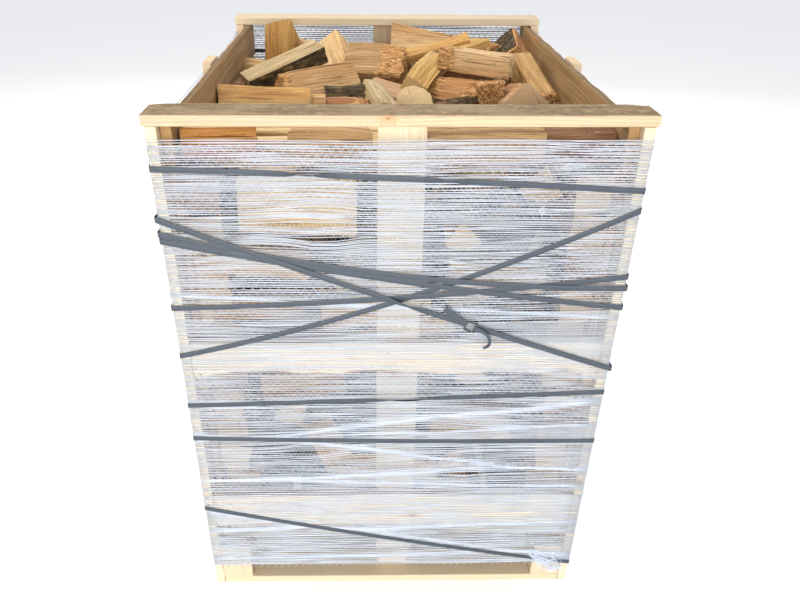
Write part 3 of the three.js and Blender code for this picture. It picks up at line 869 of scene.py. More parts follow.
TOP_LOGS = {
    "log_front_left": lie(wedge(105, 66, 60), (-446, -118, 1217), (-212, -122, 1212), 176, "honey"),
    "log_bark_diagonal": lie(slab(66, 52, None, 60, 1), (-409, 95, 1225), (-206, 221, 1296), -8, "grey"),
    "log_upright": lie(
        slab(88, 92, 84, 60), (-346, 462, 1105), (-338, 484, 1296), 22, "mustard", cut=(-0.28, -0.85)
    ),
    "log_big_split": lie(
        wedge(90, 80, 60), (-306, 28, 1222), (-112, 165, 1226), 182, "tan", torn=4, rot=(0.14, 0)
    ),
    "log_rotten_end": lie(
        slab(150, 84, 130, 64), (-132, 340, 1222), (46, 297, 1222), -30, "fawn", torn=7, rot=(0, 0.52)
    ),
    "log_triangle": lie(
        wedge(92, 62, 60), (12, 448, 1285), (220, 428, 1287), 180, "straw", end_scale=0.25
    ),
    "log_cream_block": lie(
        slab(66, 60, None, 60), (160, 195, 1284), (334, 96, 1278), 4, "straw", torn=5, rot=(0.3, 0)
    ),
    "log_right_wall": lie(
        slab(64, 60, 56, 60), (388, 226, 1262), (416, -48, 1206), -6, "golden", rot=(0, 0.1)
    ),
}


def hand_log(seed, section, start, stop, roll, wood, options):
    length = (Vector(stop) - Vector(start)).length * MM
    log = log_mesh(section, length, seed, **options)
    return place(log, log_axes(start, stop, roll), wood)


laid = []
for seed, (node, way) in enumerate(TOP_LOGS.items(), 11):
    log = hand_log(seed, *way)
    laid.append(log)
    stand_for(join_logs(f"{node}_wood", [log]), "split_wood", node)
print(len(laid), "logs laid in the places of their solids")

# %% [markdown]
# The lesser logs of the top layer lie between the big ones, and a row of logs leans against the
# net at the front, where their pale faces shine through it. They are laid one by one too, and they
# stand, with the settled logs below, in the place of the plain solid that fills the crate.

# %% Lay the lesser logs
LESSER_LOGS = [
    lie(wedge(98, 104), (-132, 290, 1172), (-172, 470, 1248), 176, "cream", cut=(0.25, -0.4)),
    lie(slab(60, 50, bark=3), (-300, 520, 1252), (-222, 450, 1240), 10, "tan"),
    lie(wedge(88, 84, bark=0.3), (-446, 372, 1206), (-300, 310, 1208), 0, "tan", torn=4),
    lie(slab(80, 60), (-446, 190, 1188), (-350, 120, 1180), 14, "brown", torn=4),
    lie(slab(84, 76, bark=1), (-448, 52, 1198), (-330, -1, 1196), 14, "brown", torn=5),
    lie(slab(62, 52, 46), (-56, 52, 1226), (-14, -185, 1222), 12, "grey"),
    lie(slab(70, 56), (-60, 165, 1196), (72, 62, 1180), -15, "pink"),
    lie(
        wedge(84, 84, bark=0.3), (-200, -45, 1194), (-62, -70, 1200), 8, "red",
        torn=7, rough=1.5, rot=(0, 0.4),
    ),
    lie(wedge(47, 180, bark=0.6), (52, -112, 1258), (80, 112, 1160), 0, "bright"),
    lie(wedge(80, 108), (344, -128, 1235), (330, 105, 1180), 182, "pink"),
    lie(slab(72, 60), (266, -52, 1238), (280, 150, 1200), 8, "rust", torn=5, rot=(0.12, 0.5)),
    lie(wedge(60, 84), (138, -80, 1206), (226, 44, 1184), 8, "brown", torn=4),
    lie(
        wedge(70, 120, bark=0), (112, 172, 1212), (256, 62, 1210), -10, "orange",
        torn=8, rough=1.8, rot=(0.5, 0.35),
    ),
    lie(slab(70, 46), (66, 84, 1222), (146, 262, 1258), -24, "yellow"),
    lie(slab(42, 26), (36, 345, 1250), (252, 402, 1296), -20, "yellow"),
    lie(slab(38, 26, bark=0), (84, 190, 1240), (204, 322, 1276), -14, "golden"),
    lie(slab(76, 44), (196, 322, 1258), (300, 432, 1272), 12, "yellow"),
    lie(
        wedge(60, 90, bark=0), (258, 474, 1262), (338, 392, 1262), 4, "orange",
        torn=6, rough=1.6, rot=(0.5, 0.2),
    ),
    lie(slab(36, 30), (268, 352, 1258), (348, 298, 1258), -6, "tan"),
    lie(slab(88, 92, 74, bark=1), (400, 500, 1258), (384, 300, 1240), 46, "rust", torn=3, rot=(0, 0.1)),
    lie(slab(64, 60), (-440, -518, 1260), (-300, -512, 1258), 12, "alder", torn=4),
    lie(slab(86, 70), (-225, -508, 1252), (-60, -505, 1250), 4, "tan", end_scale=0.9),
    lie(slab(84, 64), (58, -514, 1256), (292, -508, 1258), -4, "tan"),
    lie(slab(76, 62, 60, bark=0), (306, -512, 1250), (440, -500, 1254), -10, "brown", torn=4),
    lie(slab(90, 66), (140, 345, 1190), (325, 262, 1190), 0, "brown"),
    lie(slab(20, 62), (439, 60, 1190), (439, -150, 1188), 0, "brown", rough=0.4),
    lie(slab(40, 60), (-430, 60, 1206), (-430, 300, 1198), 0, "brown"),
    lie(wedge(64, 80), (-178, -14, 1216), (-74, 12, 1216), -20, "dark", torn=4),
    lie(wedge(56, 90), (-238, -92, 1222), (-176, -98, 1218), 168, "pale"),
    lie(slab(80, 60), (-440, 250, 1160), (-330, 330, 1150), 0, "brown"),
]
NET_LOGS = [
    lie(slab(76, 128, 108), (-342, -508, 1128), (-92, -500, 1122), 4, "cream", end_scale=1.1),
    lie(wedge(66, 74), (142, -548, 1052), (150, -300, 1060), 180, "cream"),
    lie(wedge(66, 80), (186, -548, 680), (180, -300, 690), 184, "cream"),
    lie(slab(70, 84), (90, -512, 512), (304, -508, 510), 2, "yellow"),
    lie(slab(64, 50), (-430, -515, 860), (-210, -510, 872), 8, "tan"),
    lie(slab(60, 64), (-120, -512, 655), (-330, -516, 640), -8, "tan"),
    lie(wedge(74, 90, bark=0.3), (-260, -545, 560), (-250, -300, 560), 30, "pale"),
    lie(slab(74, 60), (120, -515, 960), (330, -512, 940), 5, "pale"),
    lie(wedge(80, 80), (300, -545, 1170), (310, -300, 1165), 170, "tan"),
    lie(slab(70, 66), (-420, -512, 1000), (-200, -514, 985), -5, "pale"),
]
print(len(LESSER_LOGS), "lesser logs, and", len(NET_LOGS), "by hand behind the net")

# %% Fill the corners and the rows behind the front
CORNERS = [(end, side) for end in (-1, 1) for side in (-1, 1)]
COLUMN_FLOOR, COLUMN_STEP, COLUMN_LOGS = 232, 92, 11
COLUMN_OUT = {True: 402, False: 422}
COLUMN_WOODS = ("tan", "pale", "brown", "golden", "cream")
CLEARANCE = 52
SIDE_BOARD_SPANS = [[corner[2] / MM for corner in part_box(f"left_board_{level}")] for level in LEVELS]
ROW_FRONT, ROW_STEP, ROW_LEFT, ROW_LENGTH = -425, 92, -440, 212
COARSE = {"step": 16}


def beside_board(height):
    """Whether a side board stands beside a log of the columns, so that it has to keep clear."""
    return any(low - CLEARANCE < height < high + CLEARANCE for low, high in SIDE_BOARD_SPANS)


for end, side in CORNERS:
    for level in range(COLUMN_LOGS):
        low = COLUMN_FLOOR + COLUMN_STEP * level
        section = slab(88, 84 + 4 * (level % 2), 84, 26, 2 if level % 3 == 0 else None)
        out = COLUMN_OUT[beside_board(low)]
        start, stop = (side * out, end * 546, low), (side * out, end * 302, low + 5)
        wood = COLUMN_WOODS[(level + side + 2 * end) % 5]
        NET_LOGS.append(lie(section, start, stop, 5 * side * (level % 3), wood, **COARSE))

for end, side in CORNERS:
    for upper, lower in zip(SIDE_BOARD_SPANS, SIDE_BOARD_SPANS[1:]):
        start, stop = ((side * 461, end * 515, z) for z in (lower[1] - 2, upper[0] + 2))
        NET_LOGS.append(lie(slab(18, 96, None, 26), start, stop, 0, "tan", rough=0.3, **COARSE))

draw = random.Random(31)
for row in range(3):
    for spot in range(4):
        x, y = ROW_LEFT + 222 * spot + draw.uniform(-4, 4), ROW_FRONT + ROW_STEP * row
        z = 1208 - 6 * row
        section = slab(80, draw.uniform(56, 68), 70, 26, draw.choice((None, 0, 2)))
        start = (x, y + draw.uniform(-6, 6), z)
        stop = (x + ROW_LENGTH, y + draw.uniform(-6, 6), z)
        roll, wood = draw.uniform(-9, 9), draw.choice(COLUMN_WOODS)
        NET_LOGS.append(lie(section, start, stop, roll, wood, **COARSE))

lesser = [hand_log(seed, *way) for seed, way in enumerate(LESSER_LOGS, 41)]
leaning = [hand_log(seed, *way) for seed, way in enumerate(NET_LOGS, 81)]
print(len(lesser), "lesser logs and", len(leaning), "logs against the net")

# %% [markdown]
# ## The logs that fell in
#
# Below the top layer the crate was filled by tipping logs in. A grid of copies would look
# stacked, and random places would cut through each other, so they are really tipped in: each log
# is a plain prism in a rigid body simulation, dropped in layers into a box with the sizes of the
# load space. Sixteen shapes of log with fine surfaces then take the places where the prisms came
# to rest. Logs that would cut one of the listed ones are taken out again.

# %% The load space and the shapes that fall
LOAD_HALF_WIDTH = 0.450
LOAD_HALF_DEPTH = 0.559
LOAD_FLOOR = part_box("deck_board_1")[1][2] + 0.5 * MM
WALL = 0.2
WALL_TOP = 6.5
LOG_COUNT = 450
SHAPES = 16
LOGS_IN_A_LAYER = 12
FALL_GAPS = (0.29, 0.27, 0.17)
FIRST_DROP = 0.15
SETTLING_FRAMES = 180

draw = random.Random(7)
shapes = []
for number in range(SHAPES):
    radius, sweep = draw.uniform(78, 118), draw.uniform(52, 96)
    shapes.append((radius, sweep, draw.uniform(0.225, 0.262)))


def prism(radius, sweep, length):
    """The points and faces of a plain wedge prism about its own middle."""
    turns = np.radians(np.linspace(90 - sweep / 2, 90 + sweep / 2, 5))
    drop = -TIP_DROP * radius
    outline = [(0.0, drop)] + [(radius * math.cos(t), radius * math.sin(t) + drop) for t in turns]
    rings = [[(u * MM, v * MM, z) for u, v in outline] for z in (-length / 2, length / 2)]
    points, quads, triangles = loft(np.array(rings))
    return points, quads.tolist() + triangles.tolist()


def make_body(name, points, faces):
    """An object that only takes part in the simulation."""
    mesh = bpy.data.meshes.new(name)
    mesh.from_pydata(points, [], faces)
    body = bpy.data.objects.new(name, mesh)
    scene.collection.objects.link(body)
    return body


def wall(name, lo, hi):
    """A box about its own middle, that holds the logs while they fall."""
    u, v, w = [(b - a) / 2 for a, b in zip(lo, hi)]
    corners = [(x * u, y * v, z * w) for z in (-1, 1) for y in (-1, 1) for x in (-1, 1)]
    sides = [(0, 2, 3, 1), (4, 5, 7, 6), (0, 1, 5, 4), (2, 6, 7, 3), (0, 4, 6, 2), (1, 3, 7, 5)]
    body = make_body(name, corners, sides)
    body.location = [(a + b) / 2 for a, b in zip(lo, hi)]
    return body

print("the load space is", 2 * LOAD_HALF_WIDTH, "by", 2 * LOAD_HALF_DEPTH, "metres")

# %% Let them settle


def join_simulation(body, kind, shape):
    scene.rigidbody_world.collection.objects.link(body)
    rigid = body.rigid_body
    rigid.type, rigid.collision_shape = kind, shape
    rigid.friction, rigid.restitution = 0.6, 0.0
    rigid.use_margin, rigid.collision_margin = True, 0.5 * MM
    rigid.linear_damping, rigid.angular_damping = 0.1, 0.3


def settle():
    """Drops the logs, and gives the shape number and the resting matrix of each."""
    bpy.ops.rigidbody.world_add()
    rigid_world = scene.rigidbody_world
    rigid_world.collection = bpy.data.collections.new("falling")
    rigid_world.substeps_per_frame, rigid_world.solver_iterations = 4, 10
    x, y, z, t = LOAD_HALF_WIDTH, LOAD_HALF_DEPTH, LOAD_FLOOR, WALL
    walls = [
        ((-x - t, -y - t, z - t), (x + t, y + t, z)),
        ((-x - t, -y - t, z - t), (-x, y + t, WALL_TOP)),
        ((x, -y - t, z - t), (x + t, y + t, WALL_TOP)),
        ((-x - t, -y - t, z - t), (x + t, -y, WALL_TOP)),
        ((-x - t, y, z - t), (x + t, y + t, WALL_TOP)),
    ]
    held = [wall(f"wall_{i}", lo, hi) for i, (lo, hi) in enumerate(walls)]
    for body in held:
        join_simulation(body, "PASSIVE", "BOX")
    draw = random.Random(11)
    bodies = []
    for number in range(LOG_COUNT):
        layer, spot = divmod(number, LOGS_IN_A_LAYER)
        points, faces = prism(*shapes[number % SHAPES])
        body = make_body(f"falling_{number}", points.tolist(), faces)
        x = (spot % 3 - 1) * FALL_GAPS[0] + draw.uniform(-0.01, 0.01)
        y = (spot // 3 - 1.5) * FALL_GAPS[1] + draw.uniform(-0.01, 0.01)
        body.location = (x, y, LOAD_FLOOR + FIRST_DROP + layer * FALL_GAPS[2])
        turn = (draw.uniform(0, 6.28), math.pi / 2 + draw.uniform(-0.4, 0.4), draw.uniform(0, 6.28))
        body.rotation_euler = turn
        join_simulation(body, "ACTIVE", "CONVEX_HULL")
        bodies.append(body)
    rigid_world.point_cache.frame_end = SETTLING_FRAMES
    scene.frame_end = SETTLING_FRAMES
    for frame_number in range(1, SETTLING_FRAMES + 1):
        scene.frame_set(frame_number)
    depsgraph = bpy.context.evaluated_depsgraph_get()
    rest = [body.evaluated_get(depsgraph).matrix_world.copy() for body in bodies]
    bpy.ops.rigidbody.world_remove()
    for body in held + bodies:
        mesh = body.data
        bpy.data.objects.remove(body)
        bpy.data.meshes.remove(mesh)
    scene.frame_set(1)
    return [(number % SHAPES, matrix) for number, matrix in enumerate(rest)]


resting = settle()
print("highest resting log at", round(max(m.translation.z for _, m in resting), 3), "metres")

# %% Choose the logs that stay
from mathutils.bvhtree import BVHTree

HIGHEST_FILL = 1.262
OUTER_DEPTH = 0.12
TOP_LAYER = 1.0


def tree_of(points, faces):
    return BVHTree.FromPolygons(points.tolist(), faces)


def log_tree(log):
    return tree_of(log["points"], log["quads"].tolist())


def rough_box(number, matrix):
    """The prism of a shape where it came to rest."""
    points, faces = prism(*shapes[number])
    axes = np.array(matrix)
    return points @ axes[:3, :3].T + axes[:3, 3], faces


hand_laid = [log_tree(log) for log in laid + lesser + leaning]
kept = []
for number, matrix in resting:
    points, faces = rough_box(number, matrix)
    middle = matrix.translation
    inside = abs(middle.x) < LOAD_HALF_WIDTH and abs(middle.y) < LOAD_HALF_DEPTH
    if not inside or middle.z < LOAD_FLOOR or points[:, 2].max() > HIGHEST_FILL:
        continue
    body = tree_of(points, faces)
    if any(body.overlap(other) for other in hand_laid):
        continue
    kept.append((number, matrix))
print(len(kept), "of", LOG_COUNT, "fallen logs stay")

# %% Give the fallen logs their surfaces
FILL_WOODS = "pale tan yellow golden tan pink pale brown cream orange grey".split()
TORN_ENDS = (0, 3, 0, 5)


def near_outside(middle):
    """Whether a log can be seen, so that it needs a fine surface."""
    side = min(LOAD_HALF_WIDTH - abs(middle.x), LOAD_HALF_DEPTH - abs(middle.y))
    return side < OUTER_DEPTH or middle.z > TOP_LAYER


fine_shapes, plain_shapes = [], []
for number, (radius, sweep, length) in enumerate(shapes):
    options = dict(seed=200 + number, torn=TORN_ENDS[number % 4])
    fine, plain = wedge(radius, sweep, around=20), wedge(radius, sweep, around=12)
    fine_shapes.append(log_mesh(fine, length, step=22, **options))
    plain_shapes.append(log_mesh(plain, length, step=70, rough=0.6, **options))

fallen = []
draw = random.Random(23)
for number, matrix in kept:
    chosen = (fine_shapes if near_outside(matrix.translation) else plain_shapes)[number]
    lowered = matrix @ Matrix.Translation((0, 0, -shapes[number][2] / 2))
    log = place(chosen, lowered, draw.choice(FILL_WOODS))
    log["grain"] = log["grain"] + np.array([0, 0, draw.uniform(0, 60)])
    fallen.append(log)
half = len(fallen) // 2
heap_pieces = [
    join_logs("lesser_logs", lesser + leaning),
    join_logs("fallen_logs_below", fallen[:half]),
    join_logs("fallen_logs_above", fallen[half:]),
]
for piece in heap_pieces:
    stand_for(piece, "split_wood", "firewood_heap")
    count_triangles(piece)

# %% [markdown]
# ## The net
#
# A knitted bale net is wound round the crate many times. Each turn is a band of strands that run
# along the winding, with a finer thread that zigzags from strand to strand and holds them apart.
# Stretched hard, the strands lie almost level, a few millimetres from each other, and where two
# bands part or bunch up there are lens-shaped openings and white ropes. Thousands of threads
# follow one rule, which is work for Geometry Nodes: a ring round the posts is repeated up the
# height, moved up and down by a field, and swept with a thin section.

# %% A class for geometry recipes


class Recipe(Tree):
    """A geometry node tree with named inputs, which ends in real mesh with a material."""

    def __init__(self, name, inputs):
        group = bpy.data.node_groups.new(name, "GeometryNodeTree")
        for label, kind in inputs.items():
            group.interface.new_socket(name=label, in_out="INPUT", socket_type=kind)
        group.interface.new_socket(name="Geometry", in_out="OUTPUT", socket_type="NodeSocketGeometry")
        super().__init__(group)
        self.source = group.nodes.new("NodeGroupInput")

    def input(self, label):
        return Value(self, self.source.outputs[label])

    def raised(self, geometry, lift):
        """Moves each point up by a field."""
        sockets = {"Geometry": geometry, "Offset": self.combine(0.0, 0.0, lift)}
        return self.node("GeometryNodeSetPosition", None, sockets)

    def end(self, geometry):
        real = self.node("GeometryNodeRealizeInstances", None, [geometry])
        sockets = {"Geometry": real, "Material": self.input("Finish")}
        self.node("NodeGroupOutput", None, [self.node("GeometryNodeSetMaterial", None, sockets)])

    def grow(self, name, mesh=None, **values):
        """Runs the recipe on a mesh, and gives a plain mesh object with no modifier."""
        piece = bpy.data.objects.new(name, mesh or bpy.data.meshes.new(name))
        scene.collection.objects.link(piece)
        modifier = piece.modifiers.new("recipe", "NODES")
        modifier.node_group = self.tree
        for item in self.tree.interface.items_tree:
            if item.in_out == "INPUT" and item.name in values:
                modifier[item.identifier] = values[item.name]
        depsgraph = bpy.context.evaluated_depsgraph_get()
        grown = bpy.data.meshes.new_from_object(piece.evaluated_get(depsgraph))
        piece.modifiers.remove(modifier)
        piece.data = grown
        grown.name = name
        return piece


print("recipes ready")

# %% [markdown]
# The thread is a strip of white plastic film, thinner than paper. It could be plain white, but
# then the logs would vanish behind it. Film lets light through, so a share of a translucent
# shader is mixed in, and its alpha lets a little of the wood show. On the inner side of the net
# at the back the threads carry painted shade: slate blue, and less of the translucent shader.

# %% The thread's finish
THREAD_ALPHA = 0.82


def make_thread():
    """Thin white film thread, which lets part of the light through, with painted shade on the inner side
    at the back.
    """
    tree = Finish("net_thread")
    place = tree.place()
    patch = tree.noise(place, 30.0, 3.0)
    clean = tree.mix(patch, "D8E4F3", "F9FCFF")
    # Painted shade: threads at the back that face inwards are darkened to slate blue and made less
    # translucent.
    facing = tree.node("ShaderNodeNewGeometry", None, None, 1)
    behind = tree.smooth(tree.split(place)[1], 0.5, 0.6)
    inward = 1 - tree.smooth(tree.split(facing)[1], -0.2, 0.2)
    painted_back_shade = behind * inward
    shade = tree.mix(painted_back_shade * 0.95, clean, "3F4F66")
    sockets = {"Base Color": shade, "Roughness": 0.42, "Alpha": THREAD_ALPHA}
    face = tree.node("ShaderNodeBsdfPrincipled", None, sockets)
    through = tree.node("ShaderNodeBsdfTranslucent", None, ["EEF3FB"])
    mixed = tree.node("ShaderNodeMixShader", None, [0.45 - painted_back_shade * 0.35, face, through])
    tree.node("ShaderNodeOutputMaterial", None, [mixed])
    return tree.material


thread = make_thread()
print("thread finish with", len(thread.node_tree.nodes), "nodes")

# %% Where the strands go
NET_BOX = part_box("net_wrap")
NET_LOW, NET_HIGH = NET_BOX[0][2] + 1 * MM, NET_BOX[1][2] - 3 * MM
NET_RISE_AT_BACK = 22 * MM
OPENINGS = [
    (-0.158, 1.139, 0.055, 6 * MM),
    (-0.190, 1.112, 0.085, 9 * MM),
    (-0.155, 1.084, 0.065, 9 * MM),
    (-0.265, 1.062, 0.060, 4 * MM),
    (-0.220, 0.484, 0.065, 8 * MM),
    (-0.095, 0.466, 0.050, 7 * MM),
    (0.175, 0.410, 0.050, 7 * MM),
    (0.120, 0.560, 0.090, 6 * MM),
    (0.250, 0.640, 0.110, 4 * MM),
    (0.330, 0.270, 0.080, 4 * MM),
]
BUNCHES = [
    (0.21, 0.612, 0.127, 0.028),
    (0.21, 0.455, -0.144, 0.026),
    (-0.10, 0.412, 0.040, 0.030),
    (0.05, 0.375, -0.030, 0.026),
    (-0.20, 0.215, 0.030, 0.030),
    (0.12, 0.165, -0.190, 0.028),
    (0.00, 0.108, 0.020, 0.020),
    (-0.30, 0.930, -0.060, 0.022),
    (-0.05, 0.545, 0.050, 0.018),
]


def strand_lift(tree, place, wander, seed):
    """How far a strand moves up at each place: its own wander, openings and bunches."""
    x, y, z = tree.split(place)
    level = tree.combine(x * 1.4 + seed, y * 1.4, z * 46.0)
    waves = tree.noise(level, 1.0, 2.0, 0.6) - 0.5
    drift = tree.noise(tree.combine(x * 2.1, y * 2.1 + seed, z * 7.0), 1.0, 2.0) - 0.5
    own = tree.noise(tree.combine(x * 2.6, y * 2.6, z * 330.0 + seed), 1.0, 1.0) - 0.5
    rise = tree.smooth(z, 1.2, NET_HIGH) * tree.smooth(y, 0.4, 0.6) * NET_RISE_AT_BACK
    lift = waves * (wander * 2.0) + drift * (wander * 4.0) + own * (wander * 1.6) + rise
    front = tree.smooth(y * -1.0, 0.55, 0.60)
    for at_x, at_z, half, height in OPENINGS:
        away = (z - at_z) / 0.030
        across = (x - at_x) / half
        bell = 1 / (1 + across**2.0 + (across**2.0) ** 2.0)
        part = away / ((away * away + 0.004) ** 0.5) / (1 + away * away)
        lift = lift + part * bell * front * height
    for at_x, at_z, slope, reach in BUNCHES:
        away = (z - at_z) - (x - at_x) * slope
        pull = (1 + (away / reach) ** 2.0) ** -2.0
        lift = lift - away * pull * front * 0.85
    return lift

print("the net reaches from", round(NET_LOW, 3), "to", round(NET_HIGH, 3), "metres")

# %% The recipes of the strands and of the zigzag thread
NET_SIZES = ("Lowest", "Highest", "Width", "Depth", "Zigzag", "Wander", "Thread", "Seed")
NET_INPUTS = {"Turns": "NodeSocketInt", "Cuts": "NodeSocketInt", "Finish": "NodeSocketMaterial"}
NET_INPUTS.update({label: "NodeSocketFloat" for label in NET_SIZES})


THREAD_FLAT = (0.45, 1.0, 1.0)


def make_net_recipe():
    tree = Recipe("net", NET_INPUTS)
    turns, low, high = (tree.input(label) for label in ("Turns", "Lowest", "Highest"))
    rounds = {"Width": tree.input("Width"), "Height": tree.input("Depth")}
    ring = tree.node("GeometryNodeCurvePrimitiveQuadrilateral", None, rounds)
    ring = tree.node("GeometryNodeSubdivideCurve", None, [ring, tree.input("Cuts")])
    number = tree.node("GeometryNodeInputIndex")
    swing = (number % 2.0) - 0.5
    ring = tree.raised(ring, swing * tree.input("Zigzag"))
    gap = (high - low) / (turns - 1)
    spread = {"Start Location": tree.combine(0, 0, low), "Offset": tree.combine(0, 0, gap)}
    line = tree.node("GeometryNodeMeshLine", {"mode": "OFFSET"}, {"Count": turns, **spread})
    stack = tree.node("GeometryNodeInstanceOnPoints", None, {"Points": line, "Instance": ring})
    stack = tree.node("GeometryNodeRealizeInstances", None, [stack])
    place = tree.node("GeometryNodeInputPosition")
    lift = strand_lift(tree, place, tree.input("Wander"), tree.input("Seed"))
    moved = tree.raised(stack, lift)
    x, y, z = tree.split(place)
    uneven = tree.noise(tree.combine(x * 1.5, y * 1.5, z * 700.0 + tree.input("Seed")), 1.0, 1.0)
    gathered = 1 + 1.2 * tree.smooth(y, 0.5, 0.6) * tree.smooth(z, 1.04, 1.16)
    radius = (0.35 + uneven * 1.2) * gathered
    moved = tree.node("GeometryNodeSetCurveRadius", None, {"Curve": moved, "Radius": radius})
    outline = {"Resolution": 3, "Radius": tree.input("Thread")}
    section = tree.node("GeometryNodeCurvePrimitiveCircle", None, outline)
    flat = tree.node("GeometryNodeTransform", None, {"Geometry": section, "Scale": THREAD_FLAT})
    tree.end(tree.node("GeometryNodeCurveToMesh", None, {"Curve": moved, "Profile Curve": flat}))
    return tree


net_recipe = make_net_recipe()
print("net recipe with", len(net_recipe.tree.nodes), "nodes")

# %% Wind the net round the crate
NET_HALF = (NET_BOX[1][0], NET_BOX[1][1])
LAYERS = [
    ("net_strands_inner", 245, 18, 0.0, 4.4 * MM, 1.1 * MM, 3.1, 1.0, NET_HIGH),
    ("net_strands_outer", 235, 18, 0.0, 3.8 * MM, 1.05 * MM, 8.4, 0.35, NET_HIGH),
    ("net_strands_low", 88, 18, 0.0, 4.2 * MM, 1.2 * MM, 6.2, 0.6, 0.66),
    ("net_zigzag_inner", 62, 104, 17 * MM, 5.0 * MM, 0.85 * MM, 5.7, 0.8, NET_HIGH),
    ("net_zigzag_outer", 58, 104, 15 * MM, 4.6 * MM, 0.8 * MM, 1.9, 0.4, NET_HIGH),
]


for name, turns, cuts, zigzag, wander, radius, seed, depth, high in LAYERS:
    sizes = dict(Lowest=NET_LOW, Highest=high - zigzag, Zigzag=zigzag, Wander=wander, Thread=radius)
    sizes["Width"], sizes["Depth"] = (2 * (half - depth * MM) for half in NET_HALF)
    piece = net_recipe.grow(name, Turns=turns, Cuts=cuts, Seed=seed, Finish=thread, **sizes)
    stand_for(piece, "net", "net_wrap")
    count_triangles(piece)

# %% [markdown]
# Where the bale net was caught on the lower right corner it tore, and its threads hang together
# in a small white tangle over the lowest strap. A few dozen threads that wander from one end of
# the tear to the other make it, swept like any wire.

# %% The torn patch
TEAR_START = (0.382, 0.122)
TEAR_STOP = (0.482, 0.040)
TEAR_THREADS = 44
TEAR_STEPS = 16
TORN_RADIUS = (0.35 * MM, 0.85 * MM)


def tube(path, side, over, radius, around):
    """Rings of points round a path, by two directions across it at each place."""
    turns = np.linspace(0, 2 * math.pi, around, endpoint=False)
    return np.stack([path + (side * math.cos(t) + over * math.sin(t)) * radius for t in turns], 1)


def torn_thread(draw):
    """The rings of one thread of the tangle."""
    reach = draw.uniform(0.25, 1.0)
    first = draw.uniform(0, 1 - reach)
    places = []
    phase, swing = draw.uniform(0, 6.28), draw.uniform(2, 8) * MM
    across, proud = draw.gauss(0, 8) * MM, draw.uniform(3.0, 9.0) * MM
    for step in range(TEAR_STEPS):
        t = step / (TEAR_STEPS - 1)
        share = first + reach * t
        spread = across * (0.35 + math.sin(math.pi * share)) + swing * math.sin(phase + t * 9)
        x = TEAR_START[0] + (TEAR_STOP[0] - TEAR_START[0]) * share + spread * 0.55
        z = TEAR_START[1] + (TEAR_STOP[1] - TEAR_START[1]) * share + spread
        y = -NET_HALF[1] - proud * math.sin(math.pi * t) - 0.6 * MM
        places.append((min(x, NET_HALF[0]), y, z))
    path = np.array(places)
    ahead = unit(np.gradient(path, axis=0))
    side = np.cross(ahead, [0.0, 1.0, 0.0])
    return tube(path, side, np.cross(side, ahead), draw.uniform(*TORN_RADIUS), 3)


def tear_net():
    draw = random.Random(5)
    points, faces, start = [], [], 0
    for _ in range(TEAR_THREADS):
        thread_points, quads, triangles = loft(torn_thread(draw))
        points.append(thread_points)
        faces += (quads + start).tolist() + (triangles + start).tolist()
        start += len(thread_points)
    piece = make_piece("net_tear", np.concatenate(points), faces, thread)
    stand_for(piece, "net", "net_wrap")
    print("net_tear with", TEAR_THREADS, "threads")


tear_net()

# %% [markdown]
# ## Splinters
#
# An axe leaves whiskers: thin slivers of wood that lift off the split faces and the torn ends.
# They are what tells firewood from planed wood, even from afar. A recipe scatters points over the
# top logs, sets a sliver on each, and lays most of them nearly flat on the face.

# %% Scatter the splinters
def make_splinter_recipe():
    inputs = {
        "Geometry": "NodeSocketGeometry",
        "Density": "NodeSocketFloat",
        "Length": "NodeSocketFloat",
        "Radius": "NodeSocketFloat",
        "Seed": "NodeSocketInt",
        "Finish": "NodeSocketMaterial",
    }
    tree = Recipe("splinters", inputs)
    seed = tree.input("Seed")
    spread = {"Mesh": tree.input("Geometry"), "Density": tree.input("Density"), "Seed": seed}
    scattered = tree.node("GeometryNodeDistributePointsOnFaces", None, spread)
    facing = Value(tree, scattered.socket.node.outputs["Rotation"])
    sockets = {"Vertices": 4, "Radius Top": 0.0, "Radius Bottom": tree.input("Radius")}
    sockets["Depth"] = tree.input("Length")
    sliver = tree.node("GeometryNodeMeshCone", {"fill_type": "NONE"}, sockets)
    angles = {0: (0.95, -0.3, 0.0), 1: (1.5, 0.3, 2 * math.pi), "Seed": seed}
    lean = tree.node("FunctionNodeRandomValue", {"data_type": "FLOAT_VECTOR"}, angles)
    turn = tree.node("FunctionNodeEulerToRotation", None, [lean])
    laid = tree.node("FunctionNodeRotateRotation", {"rotation_space": "LOCAL"}, [facing, turn])
    spans = {2: 0.35, 3: 1.4, "Seed": seed}
    sizes = tree.node("FunctionNodeRandomValue", {"data_type": "FLOAT"}, spans, 1)
    spots = {"Points": scattered, "Instance": sliver, "Rotation": laid, "Scale": sizes}
    tree.end(tree.node("GeometryNodeInstanceOnPoints", None, spots))
    return tree


def make_splinter_finish():
    tree = Finish("splinter")
    place = tree.place()
    tone = tree.noise(place, 60.0, 2.0)
    return tree.finish(tree.mix(tree.smooth(tone, 0.4, 0.6), "E4D3AC", "B98F5C"), 0.75)


def scatter_splinters():
    top = join_logs("splinters", laid + lesser)
    bed = top.data
    bpy.data.objects.remove(top)
    looks = dict(Density=420.0, Length=13 * MM, Radius=0.45 * MM, Seed=4, Finish=make_splinter_finish())
    piece = make_splinter_recipe().grow("splinters", bed, **looks)
    for name in ("grain", "tint", "rot", "bark", "end"):
        if name in piece.data.attributes:
            piece.data.attributes.remove(piece.data.attributes[name])
    stand_for(piece, "split_wood", "firewood_heap")
    print("splinters", len(piece.data.polygons), "faces")


scatter_splinters()
